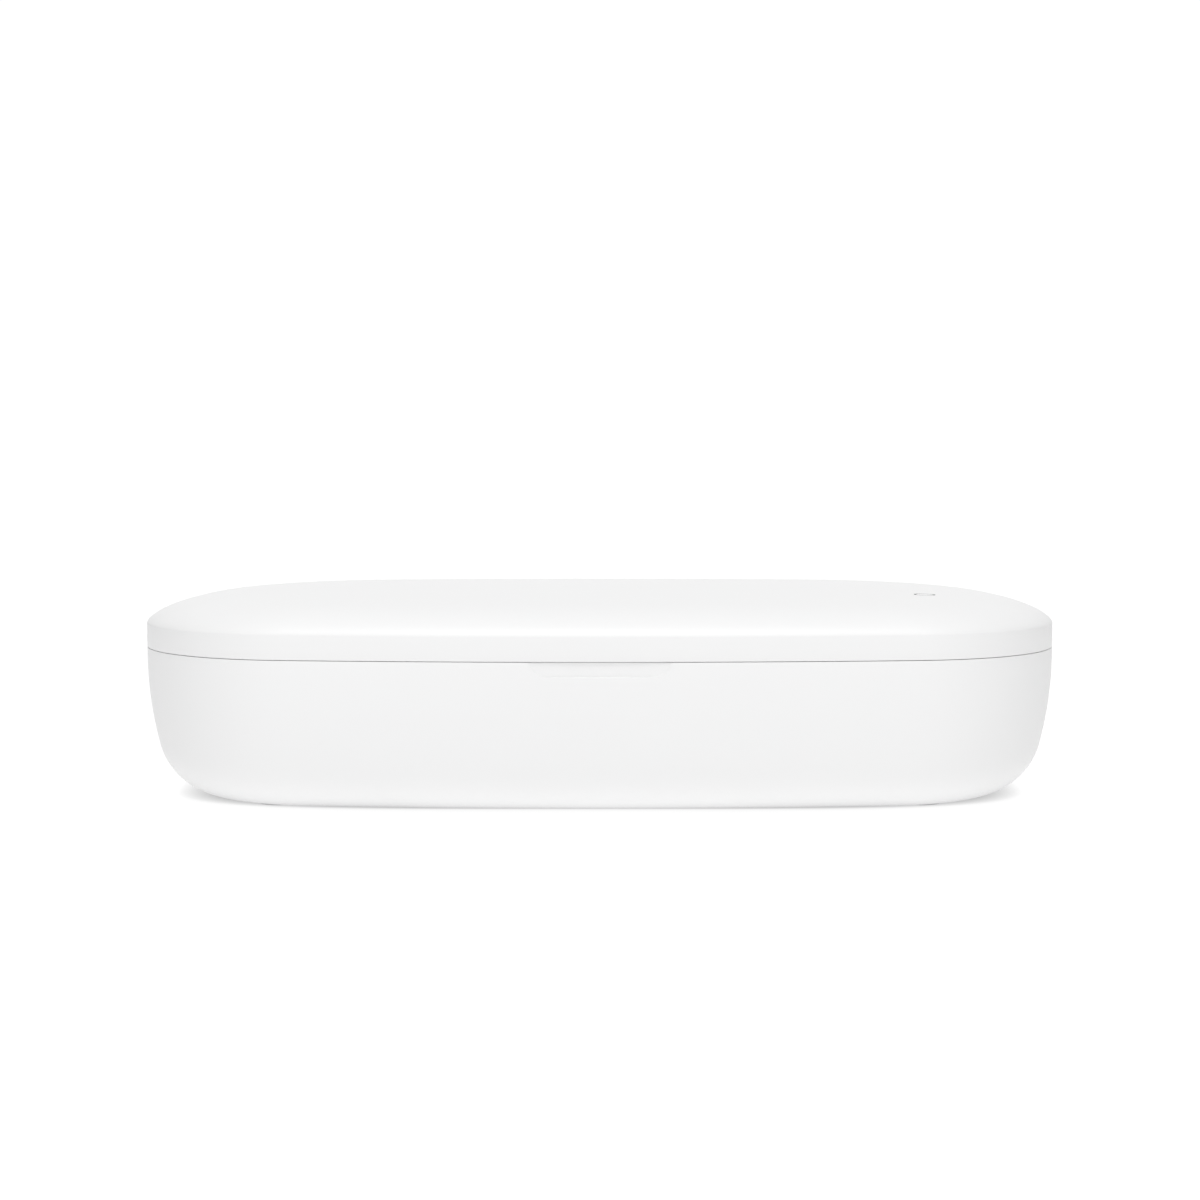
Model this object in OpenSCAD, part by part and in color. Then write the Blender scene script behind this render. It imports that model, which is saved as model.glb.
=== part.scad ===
// UV sanitizer box for phones: a bowl-shaped base with a lined chamber, a crowned
// lid on a hinge set into the rear wall, a lamp unit in each half and a round push
// button in the lid. Millimetres. The origin is on the ground under the middle of
// the case; +X is right, +Y is rear and +Z is up, and the front faces -Y.

/* [Outline] */
// Length of the case, left to right
body_l = 228; // [216:1:240]
// Depth of the case, front to rear
body_w = 128; // [122:1:136]
// Bow radius of the long front and rear sides
front_r = 662; // [560:1:900]
// Bow radius of the two short ends
end_r = 133; // [118:1:170]
// Radius that rounds the corners in plan
corner_r = 43.5; // [41:0.5:47]

/* [Base] */
// Height of the base shell, from its underside to the seam
base_h = 36.8; // [34:0.1:42]
// Upright band of the base just under the seam
base_band = 1.85; // [1:0.05:4]
// Radius of the long curve down the flanks of the base
flank_r = 92; // [80:1:120]
// Radius of the tight curve that turns the flanks into the underside
heel_r = 16.5; // [14:0.5:18]
// Wall of the base shell
base_wall = 2.4; // [2:0.1:2.8]
// Width of the ledge inside the base wall that carries the tub
ledge_w = 1.6; // [1.2:0.1:2]

/* [Lid] */
// Upright band of the lid, from the seam to the rim
lid_band = 5.8; // [5.6:0.1:8]
// Rise of the crown above the rim
crown_h = 6.1; // [5.9:0.1:9]
// Flatness of the middle of the crown
crown_flat = 10.2; // [8:0.1:14]
// Roundness of the shoulder between the rim and the crown
crown_round = 0.71; // [0.6:0.01:0.85]
// Wall of the lid shell
lid_wall = 2.2; // [1.8:0.1:2.4]
// Open line between the lid and the base
seam_gap = 0.15; // [0.1:0.05:0.5]
// Thickness of the flat liner that closes the lid from below
liner_t = 1.4; // [1.2:0.1:1.6]
// Angle to which the lid opens
lid_open = 100; // [85:1:100]

/* [Thumb recess] */
// Width of the thumb recess at the seam
thumb_w = 33; // [24:1:44]
// Height of the thumb recess
thumb_h = 3.4; // [2.6:0.1:4.4]
// Depth of the thumb recess into the front wall
thumb_d = 0.7; // [0.5:0.1:1.2]
// Radius of its two round ends
thumb_r = 5; // [2.4:0.1:8]

/* [Chamber] */
// Height of the bay between the base floor and the chamber floor
bay_h = 11.8; // [11.6:0.1:13]
// Distance from the case outline to the mouth of the chamber
mouth_in = 12.2; // [12:0.1:15]
// Lean of the chamber walls from mouth to floor
tub_draft = 2.5; // [1:0.5:4]
// Radius between the chamber walls and the chamber floor
tub_fillet = 5; // [3:0.5:6]
// Wall of the chamber tub
tub_wall = 1.6; // [1.4:0.1:1.8]
// Step from the seam down to the tub's flange
flange_drop = 0.9; // [0.7:0.1:1.2]
// Height of the soft rails that the phone lies on
rail_h = 2.5; // [1.5:0.1:4]
// Width of a rail
rail_w = 4; // [3:0.5:6]
// Length of a rail
rail_l = 124; // [90:1:140]
// Distance between the two rails
rail_gap = 48; // [40:1:56]

/* [Lamp units] */
// Distance from the end of the case to the end of a lamp's glass tube
lamp_in = 50; // [48:1:58]
// Diameter of a lamp's glass tube
lamp_d = 4; // [3:0.1:4.4]
// Diameter of the end caps on a lamp
cap_d = 5.2; // [5:0.1:5.4]
// Length of an end cap
cap_l = 8; // [6:0.5:10]
// Distance from the lamp's axis to the bottom of its reflector
focus = 2.8; // [2.8:0.05:2.9]
// Depth of the reflector trough
trough_h = 5.6; // [5.5:0.05:5.7]
// Sheet thickness of the reflector
sheet_t = 0.5; // [0.3:0.1:0.5]
// Thickness of the quartz window over a lamp
window_t = 1.2; // [1:0.1:1.3]
// Width of the flat flange along each side of the reflector
reflector_lip = 3.5; // [2.5:0.5:5]
// Radius of the screws that hold the reflectors
lamp_screw_r = 1; // [0.8:0.1:1.2]

/* [Hinge] */
// Distance from the rear of the case to the hinge axis, and radius of the knuckles
hinge_in = 3; // [2.8:0.1:3.4]
// Radius of the two hinge pins
hinge_pin_r = 1; // [0.8:0.1:1.1]
// Length of a hinge pin
hinge_pin_l = 20; // [16:1:24]
// Distance from the middle of the case to the middle of each hinge ear
ear_x = 27; // [20:1:30]
// Width of a hinge ear
ear_w = 6; // [5:0.5:8]
// Radial gap between a knuckle and the trough that it turns in
knuckle_gap = 0.4; // [0.3:0.05:0.5]
// Radial clearance between a hinge pin and the lid's bores
pin_fit = 0.05; // [0.02:0.01:0.08]

/* [Button] */
// Gap between the upper lamp unit and the button's circuit board
button_gap = 1.1; // [0.8:0.1:4]
// Distance of the button in front of the middle
button_y = 12; // [4:0.1:14]
// Diameter of the button cap
button_d = 4.5; // [4:0.1:7]
// Radial gap between the button and its hole in the lid
button_fit = 0.45; // [0.2:0.05:0.6]
// Travel of the button
button_travel = 0.4; // [0.2:0.05:0.5]

/* [Electronics] */
// Length of the main circuit board
board_l = 96; // [84:1:110]
// Depth of the main circuit board
board_w = 35; // [32:1:36]
// Thickness of the circuit boards
board_t = 1.6; // [1:0.1:1.6]
// Height of the posts under the main board
board_lift = 4.9; // [4.9:0.1:5.1]
// Width of the charging socket's metal shell
socket_w = 8.94; // [8.94:0.01:8.94]
// Height of the charging socket's metal shell
socket_h = 3.26; // [3.26:0.01:3.26]
// Depth of the charging socket
socket_l = 7.35; // [7:0.05:8]

/* [Feet and screws] */
// Height of the rubber feet below the base
foot_proud = 0.7; // [0.5:0.1:1.5]
// Diameter of a rubber foot
foot_d = 12; // [11:0.5:12.5]
// Distance from the end of the case to the middle of a foot
foot_in_x = 36; // [36:1:42]
// Distance from the front or rear of the case to the middle of a foot
foot_in_y = 32; // [32:1:36]
// Shank radius of the case screws
case_screw_r = 1.3; // [1:0.1:1.4]
// Distance from the end of the case to the lid's corner screws
lid_screw_in_x = 28; // [27:1:30]
// Distance from the front or rear of the case to the lid's corner screws
lid_screw_in_y = 30; // [29:1:32]

/* [Hidden] */

$fn = 32;
hair = 0.01;                  // overlap that lets a cut pass cleanly through a face
edge = 0.2;                   // small bevel along moulded edges
fit = 0.25;                   // gap between pieces that slot together

shell_white = [0.95, 0.95, 0.95];
steel = [0.78, 0.79, 0.8];
mirror_metal = [0.86, 0.88, 0.9];
board_green = [0.1, 0.38, 0.24];
quartz = [0.8, 0.88, 0.95, 0.45];

// Heights of the main levels above the ground
base_floor = foot_proud + base_wall;
bay_top = base_floor + bay_h;
chamber_floor = bay_top + tub_wall;
seam_z = foot_proud + base_h;
flange_z = seam_z - flange_drop;
ledge_z = flange_z - tub_wall;
rim_z = seam_z + lid_band;
crown_z = rim_z + crown_h;
liner_z = seam_z + seam_gap;
liner_top = liner_z + liner_t;

// ---- Plan outline: three arcs that meet smoothly in each quarter ----

half_l = body_l / 2;
half_w = body_w / 2;
lamp_l = 2 * (half_l - lamp_in);
front_c = [0, half_w - front_r];          // centre of the rear side's arc
end_c = [half_l - end_r, 0];              // centre of the right end's arc
corner_c = arcs_meet(front_c, front_r - corner_r, end_c, end_r - corner_r);
end_a = angle_of(corner_c - end_c);       // where the end arc gives way to the corner
front_a = angle_of(corner_c - front_c);   // where the corner gives way to the side arc
end_steps = 3;
corner_steps = 10;
front_steps = 3;

function angle_of(v) = atan2(v.y, v.x);

// Upper right crossing of two circles
function arcs_meet(p, rp, q, rq) =
    let (d = norm(q - p), u = (q - p) / d, along = (rp * rp - rq * rq + d * d) / (2 * d))
    p + along * u + sqrt(rp * rp - along * along) * [u.y, -u.x];

function arc(c, r, a0, a1, steps, skip = 0) =
    [for (i = [skip:steps]) let (a = a0 + (a1 - a0) * i / steps) c + r * [cos(a), sin(a)]];

// One quarter of the outline, drawn in from the case's edge by d
function quarter(d) = concat(
    arc(end_c, end_r - d, 0, end_a, end_steps),
    arc(corner_c, corner_r - d, end_a, front_a, corner_steps, 1),
    arc(front_c, front_r - d, front_a, 90, front_steps, 1));

// The whole outline, anticlockwise
function outline(d = 0) =
    let (q = quarter(d), n = len(q))
    concat(q,
        [for (i = [n - 2:-1:0]) [-q[i].x, q[i].y]],
        [for (i = [1:n - 1]) [-q[i].x, -q[i].y]],
        [for (i = [n - 2:-1:1]) [q[i].x, -q[i].y]]);

// Distance from the middle of the case to its outline in the direction of an angle
function reach(a) =
    let (u = [cos(a), sin(a)],
         end_join = angle_of(end_c + end_r * [cos(end_a), sin(end_a)]),
         front_join = angle_of(front_c + front_r * [cos(front_a), sin(front_a)]),
         c = a < end_join ? end_c : a < front_join ? corner_c : front_c,
         r = a < end_join ? end_r : a < front_join ? corner_r : front_r,
         k = u * c)
    k + sqrt(k * k - c * c + r * r);

// Share of the way from the middle of the lid (0) to its outline (1) at a point
function share(p) =
    norm(p) / reach(atan2(abs(p.y), abs(p.x)));

// Height of the crown's outside, and of its inside, at a share of the way out
function crown_rise(s) = pow(1 - pow(min(s, 1), crown_flat), crown_round);
function crown_outside(s) = rim_z + crown_h * crown_rise(s);
function crown_inside(s) = rim_z + (crown_h - lid_wall) * crown_rise(s);

// One ring of points for a loft: the outline drawn in by d, scaled by s, at height z
function ring(d, z, s = 1) = [for (p = outline(d)) [s * p.x, s * p.y, z]];

// Closed skin through a stack of rings, capped at the first and the last one
module loft(rings) {
    n = len(rings[0]);
    last = len(rings) - 1;
    polyhedron(
        points = [for (r = rings) each r],
        faces = concat(
            [[for (i = [0:n - 1]) i]],
            [for (k = [0:last - 1], i = [0:n - 1])
                let (a = k * n + i, b = k * n + (i + 1) % n)
                each [[a, a + n, b + n], [a, b + n, b]]],
            [[for (i = [n - 1:-1:0]) last * n + i]]));
}

// Upright solid of the case's outline, drawn in by d, between two heights
module outline_slab(d, z0, z1) {
    translate([0, 0, z0])
        linear_extrude(z1 - z0)
            polygon(outline(d));
}

// ---- Shared small shapes ----

// Block with rounded upright corners, centred on the origin, standing on z = 0
module slab(l, w, h, r) {
    translate([-l / 2 + r, -w / 2, 0]) cube([l - 2 * r, w, h]);
    translate([-l / 2, -w / 2 + r, 0]) cube([l, w - 2 * r, h]);
    for (x = [-1, 1], y = [-1, 1])
        translate([x * (l / 2 - r), y * (w / 2 - r), 0])
            cylinder(r = r, h = h);
}

// Copies of a shape at the four mirrored places of a point
module at_corners(x, y) {
    for (sx = [-1, 1], sy = [-1, 1])
        translate([sx * x, sy * y, 0])
            children();
}

// Rod along X, centred on x
module rod(x, l, r) {
    translate([x - l / 2, 0, 0])
        rotate([0, 90, 0])
            cylinder(r = r, h = l);
}

// Pan head screw with its head below z = 0 and its shank standing up
module screw(shank_r, shank_l) {
    head_r = screw_head_r(shank_r);
    head_h = screw_head_h(shank_r);
    difference() {
        union() {
            cylinder(r = shank_r, h = shank_l);
            translate([0, 0, -head_h * 0.6])
                cylinder(r = head_r, h = head_h * 0.6);
            translate([0, 0, -head_h])
                cylinder(r1 = head_r * 0.75, r2 = head_r, h = head_h * 0.4, $fn = 24);
        }
        for (a = [0, 90])
            rotate(a)
                translate([-head_r * 0.55, -head_r * 0.12, -head_h - hair])
                    cube([head_r * 1.1, head_r * 0.24, head_h * 0.5]);
    }
}

function screw_head_r(shank_r) = shank_r * 1.85;
function screw_head_h(shank_r) = shank_r * 1.25;

// ---- Base shell ----

flank_steps = 3;
heel_steps = 6;
flank_top = seam_z - base_band;
flank_a = asin((base_h - base_band - heel_r) / (flank_r - heel_r));

// Inset and height of the base's flank at an angle from the seam (0) to the underside
// (90), set in from the outside by wall t
function flank_point(a, t) =
    let (turn = min(a, flank_a),
         heel = a > flank_a ? 1 : 0)
    [flank_r * (1 - cos(turn)) + heel * heel_r * (cos(flank_a) - cos(a)) + t * cos(a),
     flank_top - flank_r * sin(turn) - heel * heel_r * (sin(a) - sin(flank_a)) + t * sin(a)];

flank_angles = concat(
    [for (i = [1:flank_steps]) flank_a * i / flank_steps],
    [for (i = [1:heel_steps]) flank_a + (90 - flank_a) * i / heel_steps]);

// Inset of the outer wall at a height in the heel
function heel_inset(z, t) =
    let (r = heel_r - t, up = foot_proud + heel_r - z)
    flank_point(90, 0)[0] - sqrt(r * r - up * up);

base_top = seam_z - seam_gap / 2;

function base_outer_rings() = [
    for (i = [len(flank_angles) - 1:-1:0])
        let (p = flank_point(flank_angles[i], 0)) ring(p[0], p[1]),
    ring(0, flank_top),
    ring(0, base_top - edge),
    ring(edge, base_top)];

function base_inner_rings() = [
    ring(base_wall, base_top),
    ring(base_wall, ledge_z),
    ring(base_wall + ledge_w, ledge_z),
    ring(base_wall + ledge_w, ledge_z - 1),
    ring(base_wall + edge, ledge_z - 1 - ledge_w),
    for (a = flank_angles)
        let (p = flank_point(a, base_wall)) ring(p[0], p[1])];

thumb_steps = 5;

// Hinge axis, and the notch in the base's rear wall that the lid's knuckles turn in.
// The notch reaches to where the bowed outline passes in front of the axis, and deep
// enough for the lid's rear edge at its widest angle.
axis_y = half_w - hinge_in;
axis_z = seam_z;
knuckle_r = hinge_in;
notch_r = knuckle_r + knuckle_gap;
notch_drop = hinge_in * tan(lid_open / 2) + knuckle_gap;
notch_half = sqrt(front_r * front_r - pow(front_r - hinge_in, 2)) + 1.5;
knuckle_half = notch_half - knuckle_gap;
trough_wall = 1.8;
trough_front = axis_y - notch_r - trough_wall;

module hinge_trough_block() {
    intersection() {
        outline_slab(edge, axis_z - notch_drop - 2, base_top);
        translate([-notch_half - trough_wall, trough_front, axis_z - notch_drop - 2])
            cube([2 * (notch_half + trough_wall), 2 * hinge_in + trough_wall, notch_drop + 2]);
    }
}

module hinge_notch() {
    translate([0, axis_y, axis_z]) {
        rod(0, 2 * notch_half, notch_r);
        translate([-notch_half, 0, -notch_drop])
            cube([2 * notch_half, 2 * hinge_in, notch_drop + hinge_in]);
    }
}

module hinge_ears() {
    intersection() {
        outline_slab(edge, axis_z - notch_drop - 1, axis_z + knuckle_r);
        for (x = [-ear_x, ear_x])
            translate([0, axis_y, axis_z]) {
                rod(x, ear_w, knuckle_r);
                translate([x - ear_w / 2, -knuckle_r, -notch_drop - 1])
                    cube([ear_w, 2 * knuckle_r, notch_drop + 1]);
            }
    }
}

// Outline of the thumb recess, seen from the front: flat below, with round ends that
// meet the seam at the full width
function thumb_outline() =
    let (h = thumb_w / 2, r = thumb_r, up = r - thumb_h,
         x = h - sqrt(r * r - up * up), turn = acos(up / r),
         right = [for (i = [0:thumb_steps])
             let (a = turn * i / thumb_steps) [x + r * sin(a), up - r * cos(a)]])
    concat(
        [[-h, 1]],
        [for (i = [thumb_steps:-1:0]) [-right[i].x, right[i].y]],
        right,
        [[h, 1]]);

module thumb_recess() {
    translate([0, -half_w + thumb_d, base_top])
        rotate([90, 0, 0])
            linear_extrude(2 * thumb_d)
                polygon(thumb_outline());
}

// Pad behind the front wall that keeps its thickness at the thumb recess
module thumb_pad() {
    intersection() {
        outline_slab(base_wall / 2, ledge_z - 2, base_top);
        translate([-thumb_w / 2 - 2, -half_w, ledge_z - 2])
            cube([thumb_w + 4, base_wall + thumb_d, base_top - ledge_z + 2]);
    }
}

foot_x = half_l - foot_in_x;
foot_y = half_w - foot_in_y;
foot_seat = 0.8;                        // depth of the seat that holds a foot
case_boss_r = screw_head_r(case_screw_r) + fit + 2;
case_boss_z = base_floor + 2.6;         // top of the screw bosses on the base floor
case_head_z = case_boss_z - 2;          // plane under the case screws' heads

board_z = base_floor + board_lift;
board_top = board_z + board_t;
board_rear = half_w - heel_inset(board_z, base_wall) - 3.2;
board_front = board_rear - board_w;
board_screw_x = board_l / 2 - 4;
board_screw_y = [board_front + 4, board_rear - 5];
board_screw_r = 0.9;

socket_z = board_top + socket_h / 2;
socket_mouth = half_w - heel_inset(socket_z, 0) - 0.9;

// Flat-sided hole with round ends, centred on the socket and running along Y
module socket_hole(grow, y0, y1) {
    r = socket_h / 2 + grow;
    for (x = [-1, 1])
        translate([x * (socket_w / 2 + grow - r), y1, socket_z])
            rotate([90, 0, 0])
                cylinder(r = r, h = y1 - y0);
    translate([-socket_w / 2 - grow + r, y0, socket_z - r])
        cube([socket_w + 2 * (grow - r), y1 - y0, 2 * r]);
}

module base_bosses() {
    at_corners(foot_x, foot_y)
        translate([0, 0, base_floor - 1])
            cylinder(r = case_boss_r, h = case_boss_z - base_floor + 1);
    for (x = [-1, 1], y = board_screw_y)
        translate([x * board_screw_x, y, base_floor - 1])
            cylinder(r = 2.8, h = board_lift + 1);
}

module base_shell() {
    color(shell_white)
    difference() {
        union() {
            difference() {
                union() {
                    loft(concat(base_outer_rings(), base_inner_rings()));
                    hinge_trough_block();
                    thumb_pad();
                }
                hinge_notch();
                thumb_recess();
            }
            hinge_ears();
            base_bosses();
        }
        translate([0, axis_y, axis_z])
            for (x = [-ear_x, ear_x])
                rod(x, ear_w + 1, hinge_pin_r);
        at_corners(foot_x, foot_y) {
            cylinder(r = foot_d / 2 + 0.1, h = foot_proud + foot_seat);
            cylinder(r = screw_head_r(case_screw_r) + fit, h = case_head_z);
            cylinder(r = case_screw_r + fit, h = case_boss_z + 1);
        }
        for (x = [-1, 1], y = board_screw_y)
            translate([x * board_screw_x, y, base_floor])
                cylinder(r = board_screw_r, h = board_lift + 1);
        socket_hole(0.3, socket_mouth - 4, half_w);
        socket_hole(1.3, socket_mouth, half_w);
    }
}

module rubber_feet() {
    color([0.85, 0.85, 0.86])
    at_corners(foot_x, foot_y)
        union() {
            translate([0, 0, 0.3])
                cylinder(r = foot_d / 2, h = foot_proud + foot_seat - 0.3);
            cylinder(r1 = foot_d / 2 - 0.3, r2 = foot_d / 2, h = 0.3);
        }
}

module base_screws() {
    color(steel)
    at_corners(foot_x, foot_y)
        translate([0, 0, case_head_z])
            screw(case_screw_r, bay_top - case_head_z - 1);
}

module hinge_pins() {
    color(steel)
    for (x = [-ear_x, ear_x])
        translate([0, axis_y, axis_z])
            rod(x, hinge_pin_l, hinge_pin_r);
}

// ---- Chamber ----

fillet_steps = 3;
flange_out = base_wall + fit;

// Inset and height along the tub's wall and fillet, t outside its inner face
function tub_point(a, t) =
    [mouth_in + tub_draft + tub_fillet - (tub_fillet + t) * cos(a),
     chamber_floor + tub_fillet - (tub_fillet + t) * sin(a)];

function tub_rings() = [
    for (i = [fillet_steps:-1:0])
        let (p = tub_point(90 * i / fillet_steps, tub_wall)) ring(p[0], p[1]),
    ring(mouth_in - tub_wall, ledge_z),
    ring(flange_out, ledge_z),
    ring(flange_out, flange_z),
    ring(mouth_in - 0.5, flange_z),
    ring(mouth_in, flange_z - 0.5),
    for (i = [0:fillet_steps])
        let (p = tub_point(90 * i / fillet_steps, 0)) ring(p[0], p[1])];

// Part of a flange or liner that gives way to the hinge trough
module hinge_relief(z0, z1, front) {
    translate([-notch_half - trough_wall - fit, front, z0])
        cube([2 * (notch_half + trough_wall + fit), body_w, z1 - z0]);
}

module chamber_tub() {
    color([0.88, 0.89, 0.9])
    difference() {
        union() {
            loft(tub_rings());
            at_corners(foot_x, foot_y)
                translate([0, 0, case_boss_z])
                    cylinder(r = 3.6, h = chamber_floor - 0.5 - case_boss_z);
            for (x = [-1, 1])
                translate([x * lamp_screw_x, 0, bay_top - window_t])
                    cylinder(r = lamp_boss_r, h = window_t + 1);
        }
        hinge_relief(ledge_z - 1, flange_z + 1, trough_front - fit);
        thumb_relief();
        translate([0, 0, bay_top - 1])
            slab(opening_l, opening_w, tub_wall + 2, 4);
        at_corners(foot_x, foot_y)
            translate([0, 0, case_boss_z - hair])
                cylinder(r = case_screw_r, h = bay_top - case_boss_z - 0.5);
        for (x = [-1, 1])
            translate([x * lamp_screw_x, 0, bay_top - window_t - hair])
                cylinder(r = lamp_screw_r, h = window_t + 1);
    }
}

// Room in the tub's flange for the pad behind the thumb recess
module thumb_relief() {
    translate([-thumb_w / 2 - 2 - fit, -half_w - 1, ledge_z - 1])
        cube([thumb_w + 4 + 2 * fit, 1 + base_wall + thumb_d + fit, tub_wall + 2]);
}

module phone_rails() {
    color([0.93, 0.94, 0.95])
    for (y = [-1, 1])
        translate([0, y * rail_gap / 2, chamber_floor]) {
            slab(rail_l, rail_w, rail_h - 0.6, rail_w / 2 - 0.1);
            translate([0, 0, rail_h - 0.6])
                slab(rail_l - 1.2, rail_w - 1.2, 0.6, rail_w / 2 - 0.7);
        }
}

module catch_plates() {
    color(steel)
    for (x = [-catch_x, catch_x])
        translate([x, -catch_y, ledge_z - 1])
            slab(catch_plate_l, catch_plate_w, 1, 1);
}

module lid_sensor() {
    color(board_green)
    translate([sensor_x, 0, ledge_z - 1])
        union() {
            slab(sensor_w, 12, 1, 0.5);
            translate([-1.5, -1.5, -1.1])
                cube([3, 3, 1.2]);
        }
}

// ---- Lamp unit: window, parabolic reflector, lamp, caps, holders, screws ----
// Drawn with the panel's back on z = 0 and the lamp below it, shining up.

trough_half = 2 * sqrt(focus * trough_h);      // half width of the trough's mouth
trough_l = lamp_l + 12;
window_w = 2 * (trough_half + reflector_lip);
opening_l = trough_l - 24;
opening_w = 2 * trough_half - 1.8;
lamp_screw_x = trough_l / 2 + 4;
lamp_boss_r = 2.6;
lip_z = -window_t - sheet_t;
lamp_z = -window_t - trough_h + focus;
trough_steps = 8;

// Half width of the parabola at a height above its bottom
function parabola(h) = 2 * sqrt(focus * h);

// Inner line of the trough, right side, from the mouth down to the bottom
function trough_line(grow) =
    [for (i = [trough_steps:-1:0])
        let (h = trough_h * pow(i / trough_steps, 2))
        [parabola(h) + (i == 0 ? 0 : grow), -window_t - trough_h + h - (i == trough_steps ? 0 : grow)]];

function mirrored(points) =
    concat(points, [for (i = [len(points) - 2:-1:0]) [-points[i].x, points[i].y]]);

// Solid with a given cross-section in Y and Z, running along X over a length
module along_x(l) {
    rotate([90, 0, 90])
        translate([0, 0, -l / 2])
            linear_extrude(l)
                children();
}

module window() {
    translate([0, 0, -window_t])
        slab(trough_l, window_w, window_t, 1);
}

module reflector() {
    difference() {
        union() {
            along_x(trough_l)
                polygon(mirrored(trough_line(sheet_t)));
            translate([0, 0, lip_z])
                slab(2 * lamp_screw_x + 2 * lamp_boss_r, window_w, sheet_t, 1);
        }
        along_x(trough_l + 1)
            polygon(concat([[trough_half, 0]], mirrored(trough_line(0)), [[-trough_half, 0]]));
        for (x = [-1, 1])
            translate([x * lamp_screw_x, 0, lip_z - 1])
                cylinder(r = lamp_screw_r + 0.1, h = 2);
    }
}

module lamp() {
    translate([0, 0, lamp_z])
        difference() {
            rod(0, lamp_l, lamp_d / 2);
            rod(0, lamp_l - 4, lamp_d / 2 - 0.5);
        }
}

// End caps: cups that close over the ends of the tube
module lamp_caps() {
    end_wall = 1.5;
    translate([0, 0, lamp_z])
        difference() {
            for (x = [-1, 1])
                rod(x * (lamp_l / 2 + end_wall - cap_l / 2), cap_l, cap_d / 2);
            rod(0, lamp_l, lamp_d / 2);
        }
}

// Soft blocks that fill the ends of the trough and grip the caps
module lamp_holders() {
    holder_l = 5;
    for (x = [-1, 1])
        translate([x * (lamp_l / 2 - 1), 0, 0])
            difference() {
                along_x(holder_l)
                    polygon(concat([[trough_half, -window_t]],
                                   [for (p = mirrored(trough_line(0))) p]));
                translate([0, 0, lamp_z])
                    rod(0, holder_l + 1, cap_d / 2);
            }
}

module lamp_screws() {
    for (x = [-1, 1])
        translate([x * lamp_screw_x, 0, lip_z])
            screw(lamp_screw_r, window_t + sheet_t + 0.8);
}

module lower_unit() {
    translate([0, 0, bay_top])
        children();
}

module upper_unit() {
    translate([0, 0, liner_top])
        mirror([0, 0, 1])
            children();
}

module lower_window() { color(quartz) lower_unit() window(); }
module lower_reflector() { color(mirror_metal) lower_unit() reflector(); }
module lower_lamp() { color([0.85, 0.88, 1, 0.6]) lower_unit() lamp(); }
module lower_lamp_caps() { color(steel) lower_unit() lamp_caps(); }
module lower_lamp_holders() { color([0.92, 0.92, 0.9]) lower_unit() lamp_holders(); }
module lower_lamp_screws() { color(steel) lower_unit() lamp_screws(); }
module upper_window() { color(quartz) upper_unit() window(); }
module upper_reflector() { color(mirror_metal) upper_unit() reflector(); }
module upper_lamp() { color([0.85, 0.88, 1, 0.6]) upper_unit() lamp(); }
module upper_lamp_caps() { color(steel) upper_unit() lamp_caps(); }
module upper_lamp_holders() { color([0.92, 0.92, 0.9]) upper_unit() lamp_holders(); }
module upper_lamp_screws() { color(steel) upper_unit() lamp_screws(); }

// ---- Electronics under the chamber ----

socket_tab_w = socket_w + 10;

module main_board() {
    color(board_green)
    difference() {
        union() {
            translate([-board_l / 2, board_front, board_z])
                cube([board_l, board_w, board_t]);
            translate([-socket_tab_w / 2, board_rear - 1, board_z])
                cube([socket_tab_w, 1 + 2.6, board_t]);
        }
        for (x = [-1, 1], y = board_screw_y)
            translate([x * board_screw_x, y, board_z - 1])
                cylinder(r = board_screw_r + 0.2, h = board_t + 2);
    }
}

module board_screws() {
    color(steel)
    for (x = [-1, 1], y = board_screw_y)
        translate([x * board_screw_x, y, board_top])
            mirror([0, 0, 1])
                screw(board_screw_r, board_t + board_lift - 1.5);
}

part_room = bay_top - board_top;        // height above the board for its tall parts
core_l = 17;
core_w = 14;
core_h = part_room - 0.9;
core_at = [-board_l * 0.28, board_front + board_w * 0.54];
capacitor_d = 6.3;
capacitor_pitch = capacitor_d + 1.7;
inductor_l = 10;
inductor_w = 5;
connector_l = 8;
connector_w = 5;
connector_h = 4;
connector_pitch = board_l * 0.27;

// Ferrite ring of the inverter transformer, with its middle leg
module transformer_core() {
    color([0.2, 0.2, 0.22])
    translate([core_at.x, core_at.y, board_top])
        difference() {
            slab(core_l, core_w, core_h, 0.6);
            for (y = [-1, 1])
                translate([-core_l / 2 + 2.5, y * 3.6 - 1.6, -1])
                    cube([core_l - 5, 3.2, core_h + 2]);
        }
}

// Winding round the middle leg
module transformer_winding() {
    color([0.78, 0.45, 0.2])
    translate([core_at.x, core_at.y, board_top])
        difference() {
            translate([0, 0, 0.2])
                slab(core_l - 6, 9.6, core_h + 0.4, 1.2);
            translate([-core_l / 2, -2, 0])
                cube([core_l, 4, core_h]);
        }
}

module capacitors() {
    color([0.25, 0.27, 0.3])
    for (i = [0:2])
        translate([socket_tab_w / 2 + i * capacitor_pitch, board_rear - capacitor_d, board_top])
            difference() {
                cylinder(d = capacitor_d, h = part_room - 0.4);
                translate([0, 0, 0.9])
                    rotate_extrude()
                        translate([capacitor_d / 2, 0])
                            circle(r = 0.35);
            }
}

module board_chips() {
    color([0.12, 0.12, 0.13])
    union() {
        translate([0, core_at.y, board_top])
            slab(7, 7, 1, 0.2);
        translate([board_l * 0.15, core_at.y - 2, board_top])
            slab(5, 4.4, 1.4, 0.2);
        translate([board_l * 0.3, core_at.y - 2, board_top])
            slab(inductor_l, inductor_w, part_room - 0.9, 0.4);
        translate([-board_l * 0.12, board_rear - 5, board_top])
            slab(4, 3, 1.2, 0.2);
    }
}

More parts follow.
